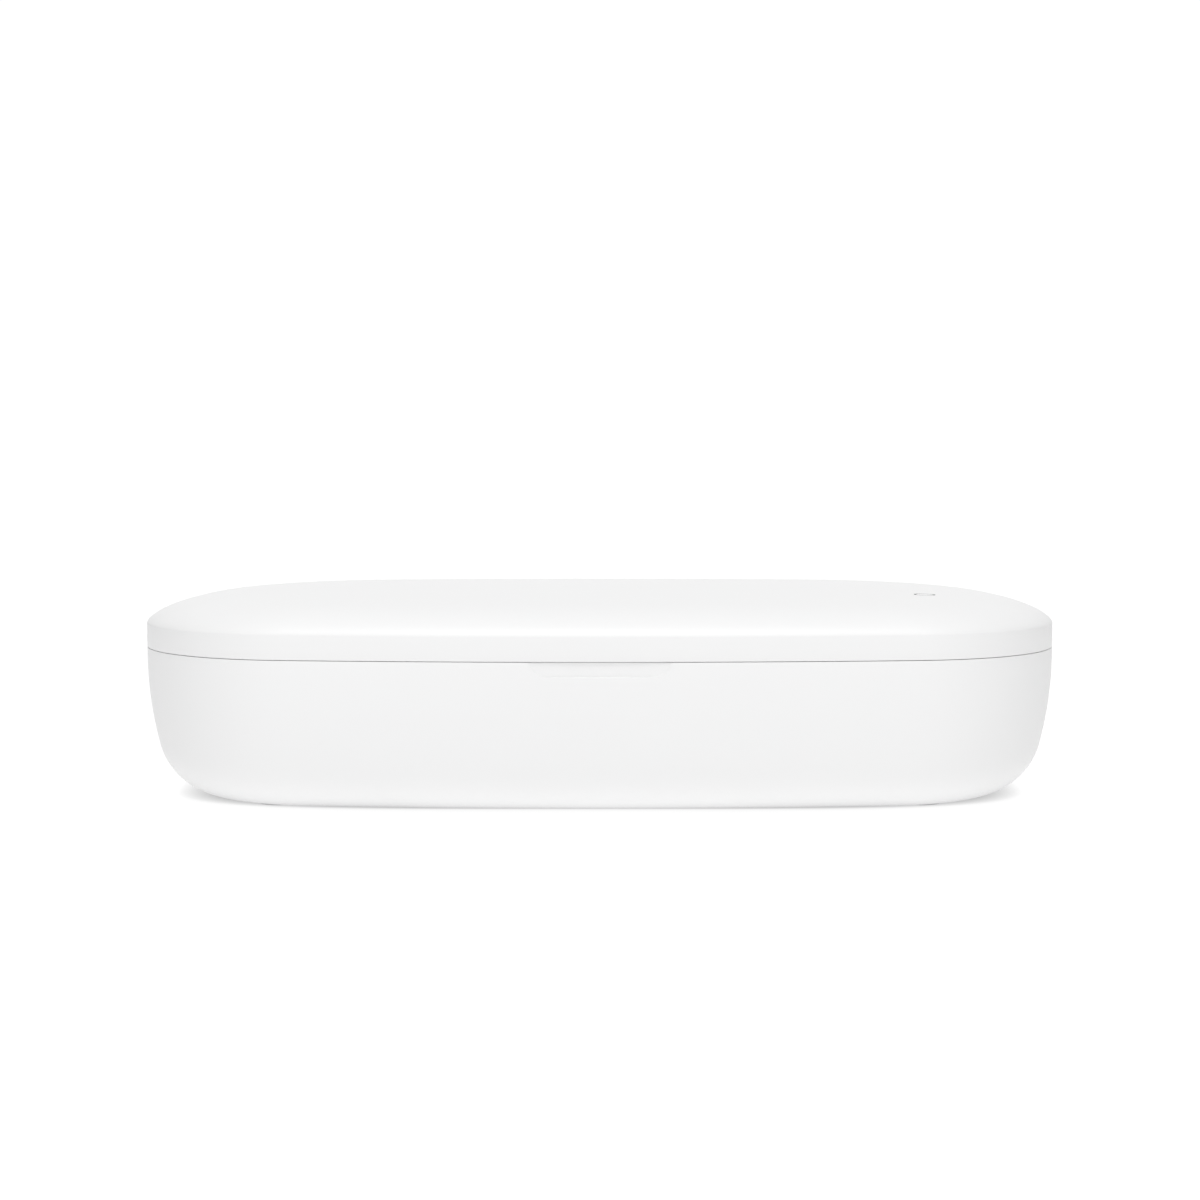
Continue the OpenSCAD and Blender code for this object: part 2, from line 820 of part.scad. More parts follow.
module lead_connectors() {
    color([0.93, 0.92, 0.88])
    for (i = [-1:1])
        translate([i * connector_pitch, board_front + connector_w, board_top])
            difference() {
                slab(connector_l, connector_w, connector_h, 0.3);
                translate([-connector_l / 2 + 0.8, -3, 1])
                    cube([connector_l - 1.6, 4.6, 2.2]);
            }
}

module socket_shell() {
    color(steel)
    difference() {
        socket_hole(0, socket_mouth - socket_l, socket_mouth);
        socket_hole(-0.3, socket_mouth - socket_l + 0.6, socket_mouth + 1);
    }
}

module socket_tongue() {
    color([0.15, 0.15, 0.16])
    union() {
        translate([-3.35, socket_mouth - socket_l + 0.6, socket_z - 0.35])
            cube([6.7, socket_l - 1.4, 0.7]);
        translate([-2.8, socket_mouth - socket_l + 0.6, socket_z - socket_h / 2 + 0.3])
            cube([5.6, 1.6, socket_h - 0.6]);
    }
}

// ---- Lid ----

lid_bottom = seam_z + seam_gap / 2;
crown_steps = 12;
crown_end_a = 85;

// Shares of the way out at which the crown gets a ring, close together at the rim
crown_shares = [for (k = [0:crown_steps]) cos(crown_end_a * pow(k / crown_steps, 1.25))];

function lid_rings() = [
    for (i = [crown_steps:-1:0])
        let (s = crown_shares[i]) ring(lid_wall, crown_inside(s), s),
    ring(lid_wall, lid_bottom),
    ring(edge, lid_bottom),
    ring(0, lid_bottom + edge),
    for (s = crown_shares) ring(0, crown_outside(s), s)];

lid_post_x = half_l - lid_screw_in_x;
lid_post_y = half_w - lid_screw_in_y;
lid_pad_h = 1;                          // raised pad on the liner under a post
lid_head_seat = screw_head_h(case_screw_r) + 0.1;  // depth of the seat for a lid screw's head
lid_post_top = crown_inside(share([lid_post_x, lid_post_y])) + 0.7;
liner_front = axis_y - knuckle_r - fit; // rear edge of the liner at the hinge

// Block along the rear of the lid whose underside is rounded about the hinge axis
module hinge_block() {
    intersection() {
        outline_slab(edge, axis_z - knuckle_r - 1, rim_z);
        union() {
            translate([0, axis_y, axis_z])
                rod(0, 2 * knuckle_half, knuckle_r);
            translate([-knuckle_half, axis_y - knuckle_r, axis_z])
                cube([2 * knuckle_half, 3 * knuckle_r, lid_band - 0.5]);
        }
    }
}

// Pocket in the hinge block that clears an ear of the base at every angle
module ear_pocket(x) {
    w = ear_w + 2 * knuckle_gap;
    translate([x - w / 2, axis_y, axis_z]) {
        translate([0, -notch_r - 1, -notch_r - 1])
            cube([w, 3 * notch_r, 1 + 2 * notch_r]);
    }
}

module lid_shell() {
    color(shell_white)
    difference() {
        union() {
            loft(lid_rings());
            hinge_block();
            at_corners(lid_post_x, lid_post_y)
                translate([0, 0, liner_top + lid_pad_h])
                    cylinder(r = 3, h = lid_post_top - liner_top - lid_pad_h);
        }
        for (x = [-ear_x, ear_x]) {
            ear_pocket(x);
            translate([0, axis_y, axis_z])
                rod(x, hinge_pin_l + 0.6, hinge_pin_r + pin_fit);
        }
        at_corners(lid_post_x, lid_post_y)
            translate([0, 0, liner_top])
                cylinder(r = case_screw_r, h = lid_post_top - liner_top - 1.2);
        translate([button_at.x, button_at.y, liner_top])
            cylinder(r = button_d / 2 + button_fit, h = crown_z);
    }
}

gasket_in = mouth_in - 3.2;
gasket_w = 1.6;
gasket_seat = 0.6;

module gasket_ring(grow, z0, z1) {
    difference() {
        outline_slab(gasket_in - grow, z0, z1);
        outline_slab(gasket_in + gasket_w + grow, z0 - 1, z1 + 1);
    }
}

catch_x = body_l * 0.15;
catch_y = half_w - 7.6;
catch_plate_l = 12;
catch_plate_w = 4;
magnet_r = 3;
magnet_h = 2;
sensor_w = 4.2;
sensor_x = half_l - base_wall - ledge_w - sensor_w / 2 - 0.7;
sensor_magnet_r = 2;

// Ring that holds a magnet on the back of the liner
module magnet_ring(r) {
    difference() {
        cylinder(r = r + 0.9, h = magnet_h - 0.4);
        translate([0, 0, -hair])
            cylinder(r = r + 0.05, h = magnet_h);
    }
}

button_board_z = liner_top + 0.8;
button_board_t = 1;
button_board_l = 24;
button_board_w = 12;
button_board_x = lamp_screw_x + lamp_boss_r + button_gap + button_board_w / 2;
button_at = [button_board_x - 1.8, -button_y];
button_screw_y = button_board_l / 2 - 3;

module lid_liner() {
    color([0.9, 0.91, 0.92])
    difference() {
        union() {
            outline_slab(lid_wall + fit, liner_z, liner_top);
            at_corners(lid_post_x, lid_post_y)
                translate([0, 0, liner_top - hair])
                    cylinder(r = 4, h = lid_pad_h + hair);
            for (x = [-1, 1])
                translate([x * lamp_screw_x, 0, liner_top - hair])
                    cylinder(r = lamp_boss_r, h = window_t + hair);
            for (x = [-catch_x, catch_x])
                translate([x, -catch_y, liner_top - hair])
                    magnet_ring(magnet_r);
            translate([sensor_x, 0, liner_top - hair])
                magnet_ring(sensor_magnet_r);
            for (y = [-1, 1])
                translate([button_board_x, button_at.y + y * button_screw_y, liner_top - hair])
                    cylinder(r = 2.4, h = button_board_z - liner_top + hair);
        }
        hinge_relief(liner_z - 1, liner_top + 1, liner_front);
        gasket_ring(0.05, liner_z - 1, liner_z + gasket_seat);
        translate([0, 0, liner_z - 1])
            slab(opening_l, opening_w, liner_t + 2, 4);
        at_corners(lid_post_x, lid_post_y) {
            translate([0, 0, liner_z - 1])
                cylinder(r = screw_head_r(case_screw_r) + 0.3, h = 1 + lid_head_seat);
            translate([0, 0, liner_z - 1])
                cylinder(r = case_screw_r + 0.2, h = 6);
        }
        for (x = [-1, 1])
            translate([x * lamp_screw_x, 0, liner_top + window_t + hair])
                mirror([0, 0, 1])
                    cylinder(r = lamp_screw_r, h = window_t + 1);
        for (y = [-1, 1])
            translate([button_board_x, button_at.y + y * button_screw_y, liner_z + 0.5])
                cylinder(r = lamp_screw_r, h = 4);
    }
}

module lid_gasket() {
    color([0.8, 0.81, 0.83])
    gasket_ring(0, flange_z + seam_gap, liner_z + gasket_seat);
}

module catch_magnets() {
    color(steel)
    for (x = [-catch_x, catch_x])
        translate([x, -catch_y, liner_top])
            cylinder(r = magnet_r, h = magnet_h);
}

module sensor_magnet() {
    color(steel)
    translate([sensor_x, 0, liner_top])
        cylinder(r = sensor_magnet_r, h = magnet_h);
}

module lid_screws() {
    color(steel)
    at_corners(lid_post_x, lid_post_y)
        translate([0, 0, liner_z + lid_head_seat])
            screw(case_screw_r, lid_post_top - liner_z - lid_head_seat - 1.7);
}

// ---- Button and its switch ----

button_top = crown_outside(share(button_at));
button_ceiling = crown_inside(share(button_at));
flange_gap = 0.3;                       // rest of the button's flange under the crown
button_flange_h = 1;
button_flange_r = button_d / 2 + button_fit + 1;
button_foot = button_ceiling - flange_gap - button_flange_h;
switch_base = button_board_z + button_board_t;
plunger_out = 1.2;                      // height of the plunger above the switch
switch_top = button_foot - plunger_out;
plunger_r = 1.7;
plunger_in = 0.4;                       // length of the plunger inside the switch

module button_board() {
    color(board_green)
    translate([button_board_x, button_at.y, button_board_z])
        difference() {
            slab(button_board_w, button_board_l, button_board_t, 1);
            for (y = [-1, 1])
                translate([0, y * button_screw_y, -1])
                    cylinder(r = lamp_screw_r + 0.1, h = button_board_t + 2);
        }
}

module button_screws() {
    color(steel)
    for (y = [-1, 1])
        translate([button_board_x, button_at.y + y * button_screw_y, switch_base])
            mirror([0, 0, 1])
                screw(lamp_screw_r, switch_base - liner_z - 0.8);
}

module button_switch() {
    color([0.15, 0.15, 0.16])
    translate([button_at.x, button_at.y, switch_base])
        difference() {
            slab(6, 6, switch_top - switch_base, 0.3);
            translate([0, 0, switch_top - switch_base - plunger_in - button_travel - 0.3])
                cylinder(r = plunger_r + 0.08, h = 3);
        }
}

module switch_plunger() {
    color([0.9, 0.9, 0.88])
    translate([button_at.x, button_at.y, switch_top - plunger_in])
        cylinder(r = plunger_r, h = plunger_out + plunger_in);
}

module power_button() {
    color(shell_white)
    translate([button_at.x, button_at.y, button_foot])
        rotate_extrude()
            polygon([
                [0, 0],
                [button_flange_r, 0],
                [button_flange_r, button_flange_h],
                [button_d / 2, button_flange_h],
                [button_d / 2, button_top - edge - button_foot],
                [button_d / 2 - edge, button_top - button_foot],
                [0, button_top - button_foot]]);
}

base_shell();
chamber_tub();
phone_rails();
lower_window();
lower_reflector();
lower_lamp();
lower_lamp_caps();
lower_lamp_holders();
lower_lamp_screws();
main_board();
board_screws();
transformer_core();
transformer_winding();
capacitors();
board_chips();
lead_connectors();
socket_shell();
socket_tongue();
lid_sensor();
catch_plates();
base_screws();
rubber_feet();
hinge_pins();
lid_shell();
lid_liner();
lid_gasket();
upper_window();
upper_reflector();
upper_lamp();
upper_lamp_caps();
upper_lamp_holders();
upper_lamp_screws();
catch_magnets();
sensor_magnet();
lid_screws();
button_board();
button_screws();
button_switch();
power_button();
switch_plunger();
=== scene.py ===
import bmesh
import bpy
from math import acos, asin, atan2, cos, degrees, hypot, radians, sin, sqrt, tan
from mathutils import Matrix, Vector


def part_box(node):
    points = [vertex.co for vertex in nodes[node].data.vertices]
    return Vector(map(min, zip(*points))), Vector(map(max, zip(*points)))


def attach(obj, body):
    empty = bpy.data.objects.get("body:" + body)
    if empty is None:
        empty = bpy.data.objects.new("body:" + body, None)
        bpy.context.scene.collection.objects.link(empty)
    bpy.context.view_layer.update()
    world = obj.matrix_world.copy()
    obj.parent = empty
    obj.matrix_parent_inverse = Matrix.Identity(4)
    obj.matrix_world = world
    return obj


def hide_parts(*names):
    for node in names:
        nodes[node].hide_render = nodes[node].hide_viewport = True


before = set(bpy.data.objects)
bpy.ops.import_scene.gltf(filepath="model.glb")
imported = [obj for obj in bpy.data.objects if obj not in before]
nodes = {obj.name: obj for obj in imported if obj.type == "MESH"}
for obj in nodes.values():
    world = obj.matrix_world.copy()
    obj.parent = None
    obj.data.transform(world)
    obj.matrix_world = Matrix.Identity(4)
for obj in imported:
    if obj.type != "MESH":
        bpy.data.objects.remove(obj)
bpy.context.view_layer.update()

# ---- Base shell ----
# The lower half of the case, injection moulded in satin white ABS. Its wall is one
# section swept round three bows that meet smoothly, with a thumb recess in the front,
# a trough and two ears for the hinge in the rear, and seats for four feet below.

MM = 0.001
HALF_L, HALF_W = 114.0, 64.0
END_R, CORNER_R, SIDE_R = 133.0, 43.5, 662.0

# A quarter of the outline is a bow for the end, one for the corner and one for the long
# side. They meet smoothly, so the three centres make a triangle whose sides are known
end_x, side_y = HALF_L - END_R, HALF_W - SIDE_R
to_end, to_side, apart = END_R - CORNER_R, SIDE_R - CORNER_R, hypot(end_x, side_y)
end_a = degrees(atan2(side_y, -end_x)
                + acos((to_end ** 2 + apart ** 2 - to_side ** 2) / (2 * to_end * apart)))
corner_x, corner_y = end_x + to_end * cos(radians(end_a)), to_end * sin(radians(end_a))
side_a = degrees(atan2(corner_y - side_y, corner_x))

# Centre of each bow, the angles that it runs between, and its steps
BOWS = (((end_x, 0.0), 0.0, end_a, 12),
        ((corner_x, corner_y), end_a, side_a, 40),
        ((0.0, side_y), side_a, 90.0, 36))


def begin(name, x, z, y=0.0):
    """A new piece in edit mode, with a single vertex."""
    bpy.ops.object.select_all(action="DESELECT")
    bpy.ops.mesh.primitive_plane_add(size=MM, location=(0, 0, 0))
    piece = bpy.context.object
    piece.name = piece.data.name = name
    bpy.ops.object.mode_set(mode="EDIT")
    bpy.ops.mesh.select_mode(type="VERT")
    bpy.ops.mesh.select_all(action="SELECT")
    bpy.ops.mesh.merge(type="CENTER")
    bpy.ops.transform.translate(value=(x * MM, y * MM, z * MM))
    return piece


def line(x, z):
    """Extrudes the end of the section straight to a point."""
    ends = [v.co for v in bmesh.from_edit_mesh(bpy.context.object.data).verts if v.select]
    bpy.ops.mesh.extrude_region_move(TRANSFORM_OT_translate={
        "value": (x * MM - ends[0].x, 0, z * MM - ends[0].z)})


def arc(x, z, turn, steps):
    """Spins the end of the section about a centre, anticlockwise as seen from the front."""
    bpy.ops.mesh.spin(steps=steps, angle=radians(turn), center=(x * MM, 0, z * MM),
                      axis=(0, 1, 0))


def sweep():
    """Spins a section round a quarter of the outline and mirrors it to all four."""
    bpy.ops.mesh.select_all(action="SELECT")
    for (x, y), start, end, steps in BOWS:
        bpy.ops.mesh.spin(steps=steps, angle=radians(end - start),
                          center=(x * MM, y * MM, 0), axis=(0, 0, -1))
    bpy.ops.object.mode_set(mode="OBJECT")
    bpy.ops.object.modifier_add(type="MIRROR")
    mirror = bpy.context.object.modifiers[-1]
    mirror.use_axis[1] = True
    mirror.merge_threshold = 0.002 * MM
    bpy.ops.object.modifier_apply(modifier=mirror.name)


def pick(test):
    """Enters edit mode with only the vertices that pass a test selected, in mm."""
    piece = bpy.context.object
    if piece.mode == "EDIT":
        bpy.ops.object.mode_set(mode="OBJECT")
    mesh = piece.data
    for part in (mesh.polygons, mesh.edges):
        part.foreach_set("select", [False] * len(part))
    mesh.vertices.foreach_set("select", [
        test(v.co.x / MM, v.co.y / MM, v.co.z / MM) for v in mesh.vertices])
    bpy.ops.object.mode_set(mode="EDIT")
    bpy.ops.mesh.select_mode(type="VERT")


def close_ring(z):
    """Fills the open ring at a height with one flat face."""
    pick(lambda px, py, pz: abs(pz - z) < 0.002)
    bpy.ops.mesh.edge_face_add()


def outward():
    """Merges doubles and turns every face outwards."""
    bpy.ops.object.mode_set(mode="EDIT")
    bpy.ops.mesh.select_all(action="SELECT")
    bpy.ops.mesh.remove_doubles(threshold=0.001 * MM)
    bpy.ops.mesh.normals_make_consistent(inside=False)
    bpy.ops.object.mode_set(mode="OBJECT")


def combine(piece, tool, operation="DIFFERENCE"):
    """Cuts a tool from a piece, joins it on, or keeps what they share."""
    bpy.ops.object.select_all(action="DESELECT")
    bpy.context.view_layer.objects.active = piece
    piece.select_set(True)
    bpy.ops.object.modifier_add(type="BOOLEAN")
    boolean = piece.modifiers[-1]
    boolean.object, boolean.operation, boolean.solver = tool, operation, "EXACT"
    bpy.ops.object.modifier_apply(modifier=boolean.name)
    bpy.data.objects.remove(tool)
    return piece


def block(low, high, radius=0.0, along=2, segments=8):
    """A block between two corners, with the four edges along one axis rounded."""
    bpy.ops.object.select_all(action="DESELECT")
    bpy.ops.mesh.primitive_cube_add(size=1, location=(0, 0, 0), enter_editmode=True)
    bpy.ops.transform.resize(value=[(b - a) * MM for a, b in zip(low, high)])
    bpy.ops.transform.translate(value=[(a + b) / 2 * MM for a, b in zip(low, high)])
    if radius:
        bpy.ops.mesh.select_mode(type="EDGE")
        bpy.ops.mesh.select_all(action="DESELECT")
        for e in bmesh.from_edit_mesh(bpy.context.object.data).edges:
            a, b = (v.co for v in e.verts)
            e.select_set(abs((b - a).normalized()[along]) > 0.9)
        bpy.ops.mesh.bevel(offset=radius * MM, segments=segments, affect="EDGES")
    bpy.ops.object.mode_set(mode="OBJECT")
    return bpy.context.object


def rod(centre, radius, length, axis="z", sides=48):
    """A round bar about its centre, upright or along the x axis."""
    bpy.ops.object.select_all(action="DESELECT")
    bpy.ops.mesh.primitive_cylinder_add(
        vertices=sides, radius=radius * MM, depth=length * MM,
        location=[c * MM for c in centre], rotation=(0, radians(90 if axis == "x" else 0), 0))
    bpy.ops.object.transform_apply(location=True, rotation=True, scale=True)
    return bpy.context.object


def post(x, y, radius, low, high, sides=48):
    """An upright round bar between two heights."""
    return rod((x, y, (low + high) / 2), radius, high - low, sides=sides)


def outline_slab(inset, low, high):
    """A solid of the case's outline, drawn in, between two heights."""
    piece = begin("slab", HALF_L - inset, low)
    line(HALF_L - inset, high)
    sweep()
    close_ring(low)
    close_ring(high)
    outward()
    return piece


def join(pieces, name):
    """Joins pieces into one."""
    bpy.ops.object.select_all(action="DESELECT")
    for piece in pieces:
        piece.select_set(True)
    bpy.context.view_layer.objects.active = pieces[0]
    bpy.ops.object.join()
    pieces[0].name = pieces[0].data.name = name
    return pieces[0]


def soften(piece, radius, segments, test):
    """Rounds the sharp edges whose two ends pass a test."""
    bpy.ops.object.select_all(action="DESELECT")
    bpy.context.view_layer.objects.active = piece
    piece.select_set(True)
    bpy.ops.object.mode_set(mode="EDIT")
    bpy.ops.mesh.select_mode(type="EDGE")
    bpy.ops.mesh.select_all(action="DESELECT")
    bpy.ops.mesh.edges_select_sharp(sharpness=radians(32))
    edges = bmesh.from_edit_mesh(piece.data)
    for e in edges.edges:
        if e.select and not all(test(v.co.x / MM, v.co.y / MM, v.co.z / MM) for v in e.verts):
            e.select_set(False)
    edges.select_flush_mode()
    bmesh.update_edit_mesh(piece.data)
    bpy.ops.mesh.bevel(offset=radius * MM, segments=segments, affect="EDGES", clamp_overlap=True)
    bpy.ops.object.mode_set(mode="OBJECT")


def smooth(piece, angle=32):
    """Smooth shading with crisp edges, and flat shading on the large flat faces."""
    bpy.ops.object.select_all(action="DESELECT")
    bpy.context.view_layer.objects.active = piece
    piece.select_set(True)
    bpy.ops.object.shade_smooth_by_angle(angle=radians(angle))
    for face in piece.data.polygons:
        if len(face.vertices) > 8:
            face.use_smooth = False
    return piece


SEAM_Z, SEAM_GAP, FLOOR_Z, WALL = 37.5, 0.15, 0.7, 2.4
TOP_Z, FLOOR_TOP = SEAM_Z - SEAM_GAP / 2, FLOOR_Z + WALL
TUB_WALL, FLANGE_Z, LEDGE_W, LEDGE_T = 1.6, SEAM_Z - 0.9, 1.6, 1.0
LEDGE_X, LEDGE_Z = HALF_L - WALL - LEDGE_W, FLANGE_Z - TUB_WALL
FLANK_R, HEEL_R, FLANK_TOP = 92.0, 16.5, SEAM_Z - 1.85
SEAM_EDGE, INNER_EDGE, FIT = 0.06, 0.2, 0.25
flank_a = degrees(asin((FLANK_TOP - FLOOR_Z - HEEL_R) / (FLANK_R - HEEL_R)))
heel_x = HALF_L - FLANK_R + (FLANK_R - HEEL_R) * cos(radians(flank_a))
inner_r, inner_a = FLANK_R - WALL, radians(flank_a / 3)

# The section runs up the outside, over the top edge, down past the ledge and its sloped
# underside, and down the inside of the wall to the floor
base_shell = begin("base_shell_moulded", heel_x, FLOOR_Z)
arc(heel_x, FLOOR_Z + HEEL_R, 90 - flank_a, 16)
arc(HALF_L - FLANK_R, FLANK_TOP, flank_a, 10)
line(HALF_L, TOP_Z - SEAM_EDGE)
arc(HALF_L - SEAM_EDGE, TOP_Z - SEAM_EDGE, 90, 3)
line(HALF_L - WALL + INNER_EDGE, TOP_Z)
arc(HALF_L - WALL + INNER_EDGE, TOP_Z - INNER_EDGE, 90, 3)
line(HALF_L - WALL, LEDGE_Z)
line(LEDGE_X + INNER_EDGE, LEDGE_Z)
arc(LEDGE_X + INNER_EDGE, LEDGE_Z - INNER_EDGE, 90, 3)
line(LEDGE_X, LEDGE_Z - LEDGE_T)
line(HALF_L - WALL - INNER_EDGE, LEDGE_Z - LEDGE_T - LEDGE_W)
line(HALF_L - FLANK_R + inner_r * cos(inner_a), FLANK_TOP - inner_r * sin(inner_a))
arc(HALF_L - FLANK_R, FLANK_TOP, -flank_a * 2 / 3, 8)
arc(heel_x, FLOOR_Z + HEEL_R, flank_a - 90, 14)
sweep()
close_ring(FLOOR_Z)
close_ring(FLOOR_TOP)
outward()

# A pad behind the front wall, which keeps its thickness at the thumb recess
THUMB_H, THUMB_R, THUMB_HALF, THUMB_DEPTH, THUMB_EDGE = 3.4, 5.0, 16.5, 0.5, 0.13
PAD_HALF, PAD_Y = THUMB_HALF + 2, 3.5 - HALF_W
thumb_pad = combine(outline_slab(WALL / 2, 33.0, TOP_Z - 0.01),
                    block((-PAD_HALF, -70, 32), (PAD_HALF, PAD_Y, 40)), "INTERSECT")
combine(base_shell, thumb_pad, "UNION")

# The hinge trough, the notch that the lid's knuckles turn in, and the two ears. The notch
# reaches to where the bowed wall passes in front of the hinge's axis, and is deep enough
# for the lid's rear edge when the lid is wide open
HINGE_IN, KNUCKLE_GAP, LID_OPEN, TROUGH_WALL = 3.0, 0.4, 100, 1.8
AXIS_Y, AXIS_Z = HALF_W - HINGE_IN, SEAM_Z
KNUCKLE_R, NOTCH_R = HINGE_IN, HINGE_IN + KNUCKLE_GAP
NOTCH_HALF = sqrt(SIDE_R ** 2 - (SIDE_R - HINGE_IN) ** 2) + 1.5
NOTCH_DROP = HINGE_IN * tan(radians(LID_OPEN / 2)) + KNUCKLE_GAP
TROUGH_HALF, TROUGH_FRONT = NOTCH_HALF + TROUGH_WALL, AXIS_Y - NOTCH_R - TROUGH_WALL
EAR_X, EAR_W = 27.0, 6.0

hinge_trough = combine(outline_slab(0.2, 31.5, TOP_Z - 0.01),
                       block((-TROUGH_HALF, TROUGH_FRONT, 30), (TROUGH_HALF, 70, 40)),
                       "INTERSECT")
combine(base_shell, hinge_trough, "UNION")
combine(base_shell, rod((0, AXIS_Y, AXIS_Z), NOTCH_R, 2 * NOTCH_HALF, "x", 96))
combine(base_shell, block((-NOTCH_HALF, AXIS_Y, AXIS_Z - NOTCH_DROP), (NOTCH_HALF, 68, 42)))
for x in (-EAR_X, EAR_X):
    ear = combine(rod((x, AXIS_Y, AXIS_Z), KNUCKLE_R, EAR_W, "x", 64),
                  block((x - EAR_W / 2, AXIS_Y - KNUCKLE_R, AXIS_Z - 5),
                        (x + EAR_W / 2, AXIS_Y + KNUCKLE_R, AXIS_Z)), "UNION")
    combine(ear, outline_slab(0.2, 32, AXIS_Z + 3.2), "INTERSECT")
    outward()
    combine(base_shell, ear, "UNION")

# Thumb recess: a shallow tray, flat below, round at its two ends and chamfered all round
thumb_turn = degrees(acos((THUMB_R - THUMB_H) / THUMB_R))
THUMB_X = THUMB_HALF - THUMB_R * sin(radians(thumb_turn))
thumb = begin("thumb", -THUMB_HALF, TOP_Z + 1, THUMB_DEPTH - HALF_W)
line(-THUMB_HALF, TOP_Z)
arc(-THUMB_X, TOP_Z - THUMB_H + THUMB_R, thumb_turn, 14)
line(THUMB_X, TOP_Z - THUMB_H)
arc(THUMB_X, TOP_Z - THUMB_H + THUMB_R, thumb_turn, 14)
line(THUMB_HALF, TOP_Z + 1)
bpy.ops.mesh.select_all(action="SELECT")
bpy.ops.mesh.edge_face_add()
for step in (THUMB_DEPTH - THUMB_EDGE, THUMB_EDGE, 4):
    bpy.ops.mesh.extrude_region_move(TRANSFORM_OT_translate={"value": (0, -step * MM, 0)})
    if step == THUMB_EDGE:
        bpy.ops.transform.resize(
            value=(1 + THUMB_EDGE / THUMB_HALF, 1, 1 + THUMB_EDGE / THUMB_H),
            center_override=(0, 0, TOP_Z * MM))
outward()
combine(base_shell, thumb)

# Seats for the feet, with a boss and a stepped hole for each case screw, and board posts
FOOT_X, FOOT_Y, FOOT_R, SEAT_Z = 78.0, 32.0, 6.0, FLOOR_Z + 0.8
FEET = [(sx * FOOT_X, sy * FOOT_Y) for sx in (-1, 1) for sy in (-1, 1)]
SHANK_R, HEAD_R, BOSS_R, BOSS_TOP = 1.3, 2.405, 4.905, FLOOR_TOP + 2.6
for x, y in FEET:
    combine(base_shell, post(x, y, BOSS_R, FLOOR_TOP - 1, BOSS_TOP), "UNION")
    combine(base_shell, post(x, y, FOOT_R + 0.1, SEAT_Z - 2, SEAT_Z))
    combine(base_shell, post(x, y, HEAD_R + FIT, FLOOR_Z, BOSS_TOP - 2))
    combine(base_shell, post(x, y, SHANK_R + FIT, SEAT_Z, SEAT_Z + 6, 32))


def corners(node):
    """The lowest and the highest corner of a CAD node, in mm."""
    return [[c / MM for c in corner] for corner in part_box(node)]


board_low, board_high = corners("main_board")
BOARD_POSTS = [(x, board_low[1] + y)
               for x in (board_low[0] + 4, board_high[0] - 4) for y in (4, 30)]
POST_R, PILOT_R = 2.8, 0.9
for x, y in BOARD_POSTS:
    combine(base_shell, post(x, y, POST_R, FLOOR_TOP - 0.6, board_low[2]), "UNION")
    combine(base_shell, post(x, y, PILOT_R, FLOOR_TOP, board_low[2] + 0.9, 24))

# Opening of the charging socket, with a sunk surround for the plug's hood
can_low, can_high = corners("socket_shell")
SOCKET_Y, SOCKET_Z = can_high[1], (can_low[2] + can_high[2]) / 2
CAN_X, CAN_Z, HOOD = 4.47, 1.63, 1.0
PORT_X, PORT_Z = CAN_X + 0.3, CAN_Z + 0.3
combine(base_shell, block((-PORT_X, 54, SOCKET_Z - PORT_Z), (PORT_X, 64, SOCKET_Z + PORT_Z),
                          PORT_Z - 0.01, 1, 10))
combine(base_shell, block((-PORT_X - HOOD, SOCKET_Y, SOCKET_Z - PORT_Z - HOOD),
                          (PORT_X + HOOD, 66, SOCKET_Z + PORT_Z + HOOD),
                          PORT_Z + HOOD - 0.01, 1, 12))
soften(base_shell, 0.25, 3,
       lambda x, y, z: abs(x) < 5.8 and y > SOCKET_Y + 0.2 and abs(z - SOCKET_Z) < 3)


def moulded(name, light, dark, roughness, grain=0.35, depth=0.006, patch=45.0):
    """Moulded plastic or rubber: a fine even grain, with a slow drift in tone and gloss."""
    material = bpy.data.materials.new(name)
    material.use_nodes = True
    tree, shader = material.node_tree, material.node_tree.nodes["Principled BSDF"]
    place = tree.nodes.new("ShaderNodeTexCoord")
    drift = tree.nodes.new("ShaderNodeTexNoise")
    drift.inputs["Scale"].default_value = 1 / (patch * MM)
    drift.inputs["Detail"].default_value = 2.0
    tone = tree.nodes.new("ShaderNodeMix")
    tone.data_type = "RGBA"
    tone.inputs["A"].default_value = (*dark, 1)
    tone.inputs["B"].default_value = (*light, 1)
    gloss = tree.nodes.new("ShaderNodeMapRange")
    gloss.inputs["To Min"].default_value = roughness - 0.03
    gloss.inputs["To Max"].default_value = roughness + 0.03
    fine = tree.nodes.new("ShaderNodeTexNoise")
    fine.inputs["Scale"].default_value = 1 / (grain * MM)
    fine.inputs["Detail"].default_value = 3.0
    bump = tree.nodes.new("ShaderNodeBump")
    bump.inputs["Strength"].default_value = 0.35
    bump.inputs["Distance"].default_value = depth * MM
    link = tree.links.new
    link(place.outputs["Object"], drift.inputs["Vector"])
    link(place.outputs["Object"], fine.inputs["Vector"])
    link(drift.outputs["Fac"], tone.inputs["Factor"])
    link(drift.outputs["Fac"], gloss.inputs["Value"])
    link(tone.outputs["Result"], shader.inputs["Base Color"])
    link(gloss.outputs["Result"], shader.inputs["Roughness"])
    link(fine.outputs["Fac"], bump.inputs["Height"])
    link(bump.outputs["Normal"], shader.inputs["Normal"])
    return material


def wear(piece, material, body, slot, *replaced):
    """Gives a piece its material and the body that it rides on, and hides the CAD nodes it stands
    for.
    """
    piece.data.materials.clear()
    piece.data.materials.append(material)
    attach(piece, body)
    if replaced:
        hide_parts(*replaced)


shell_white = moulded("satin_white_abs", (0.875, 0.875, 0.875), (0.86, 0.86, 0.862), 0.42)
smooth(base_shell)
wear(base_shell, shell_white, "base", "shell_white", "base_shell")

# ---- Feet and case screws ----
# Four soft rubber feet pressed into seats under the base, each with a shallow dish that
# grips the table. They cover the heads of the zinc-plated screws that hold the tub.


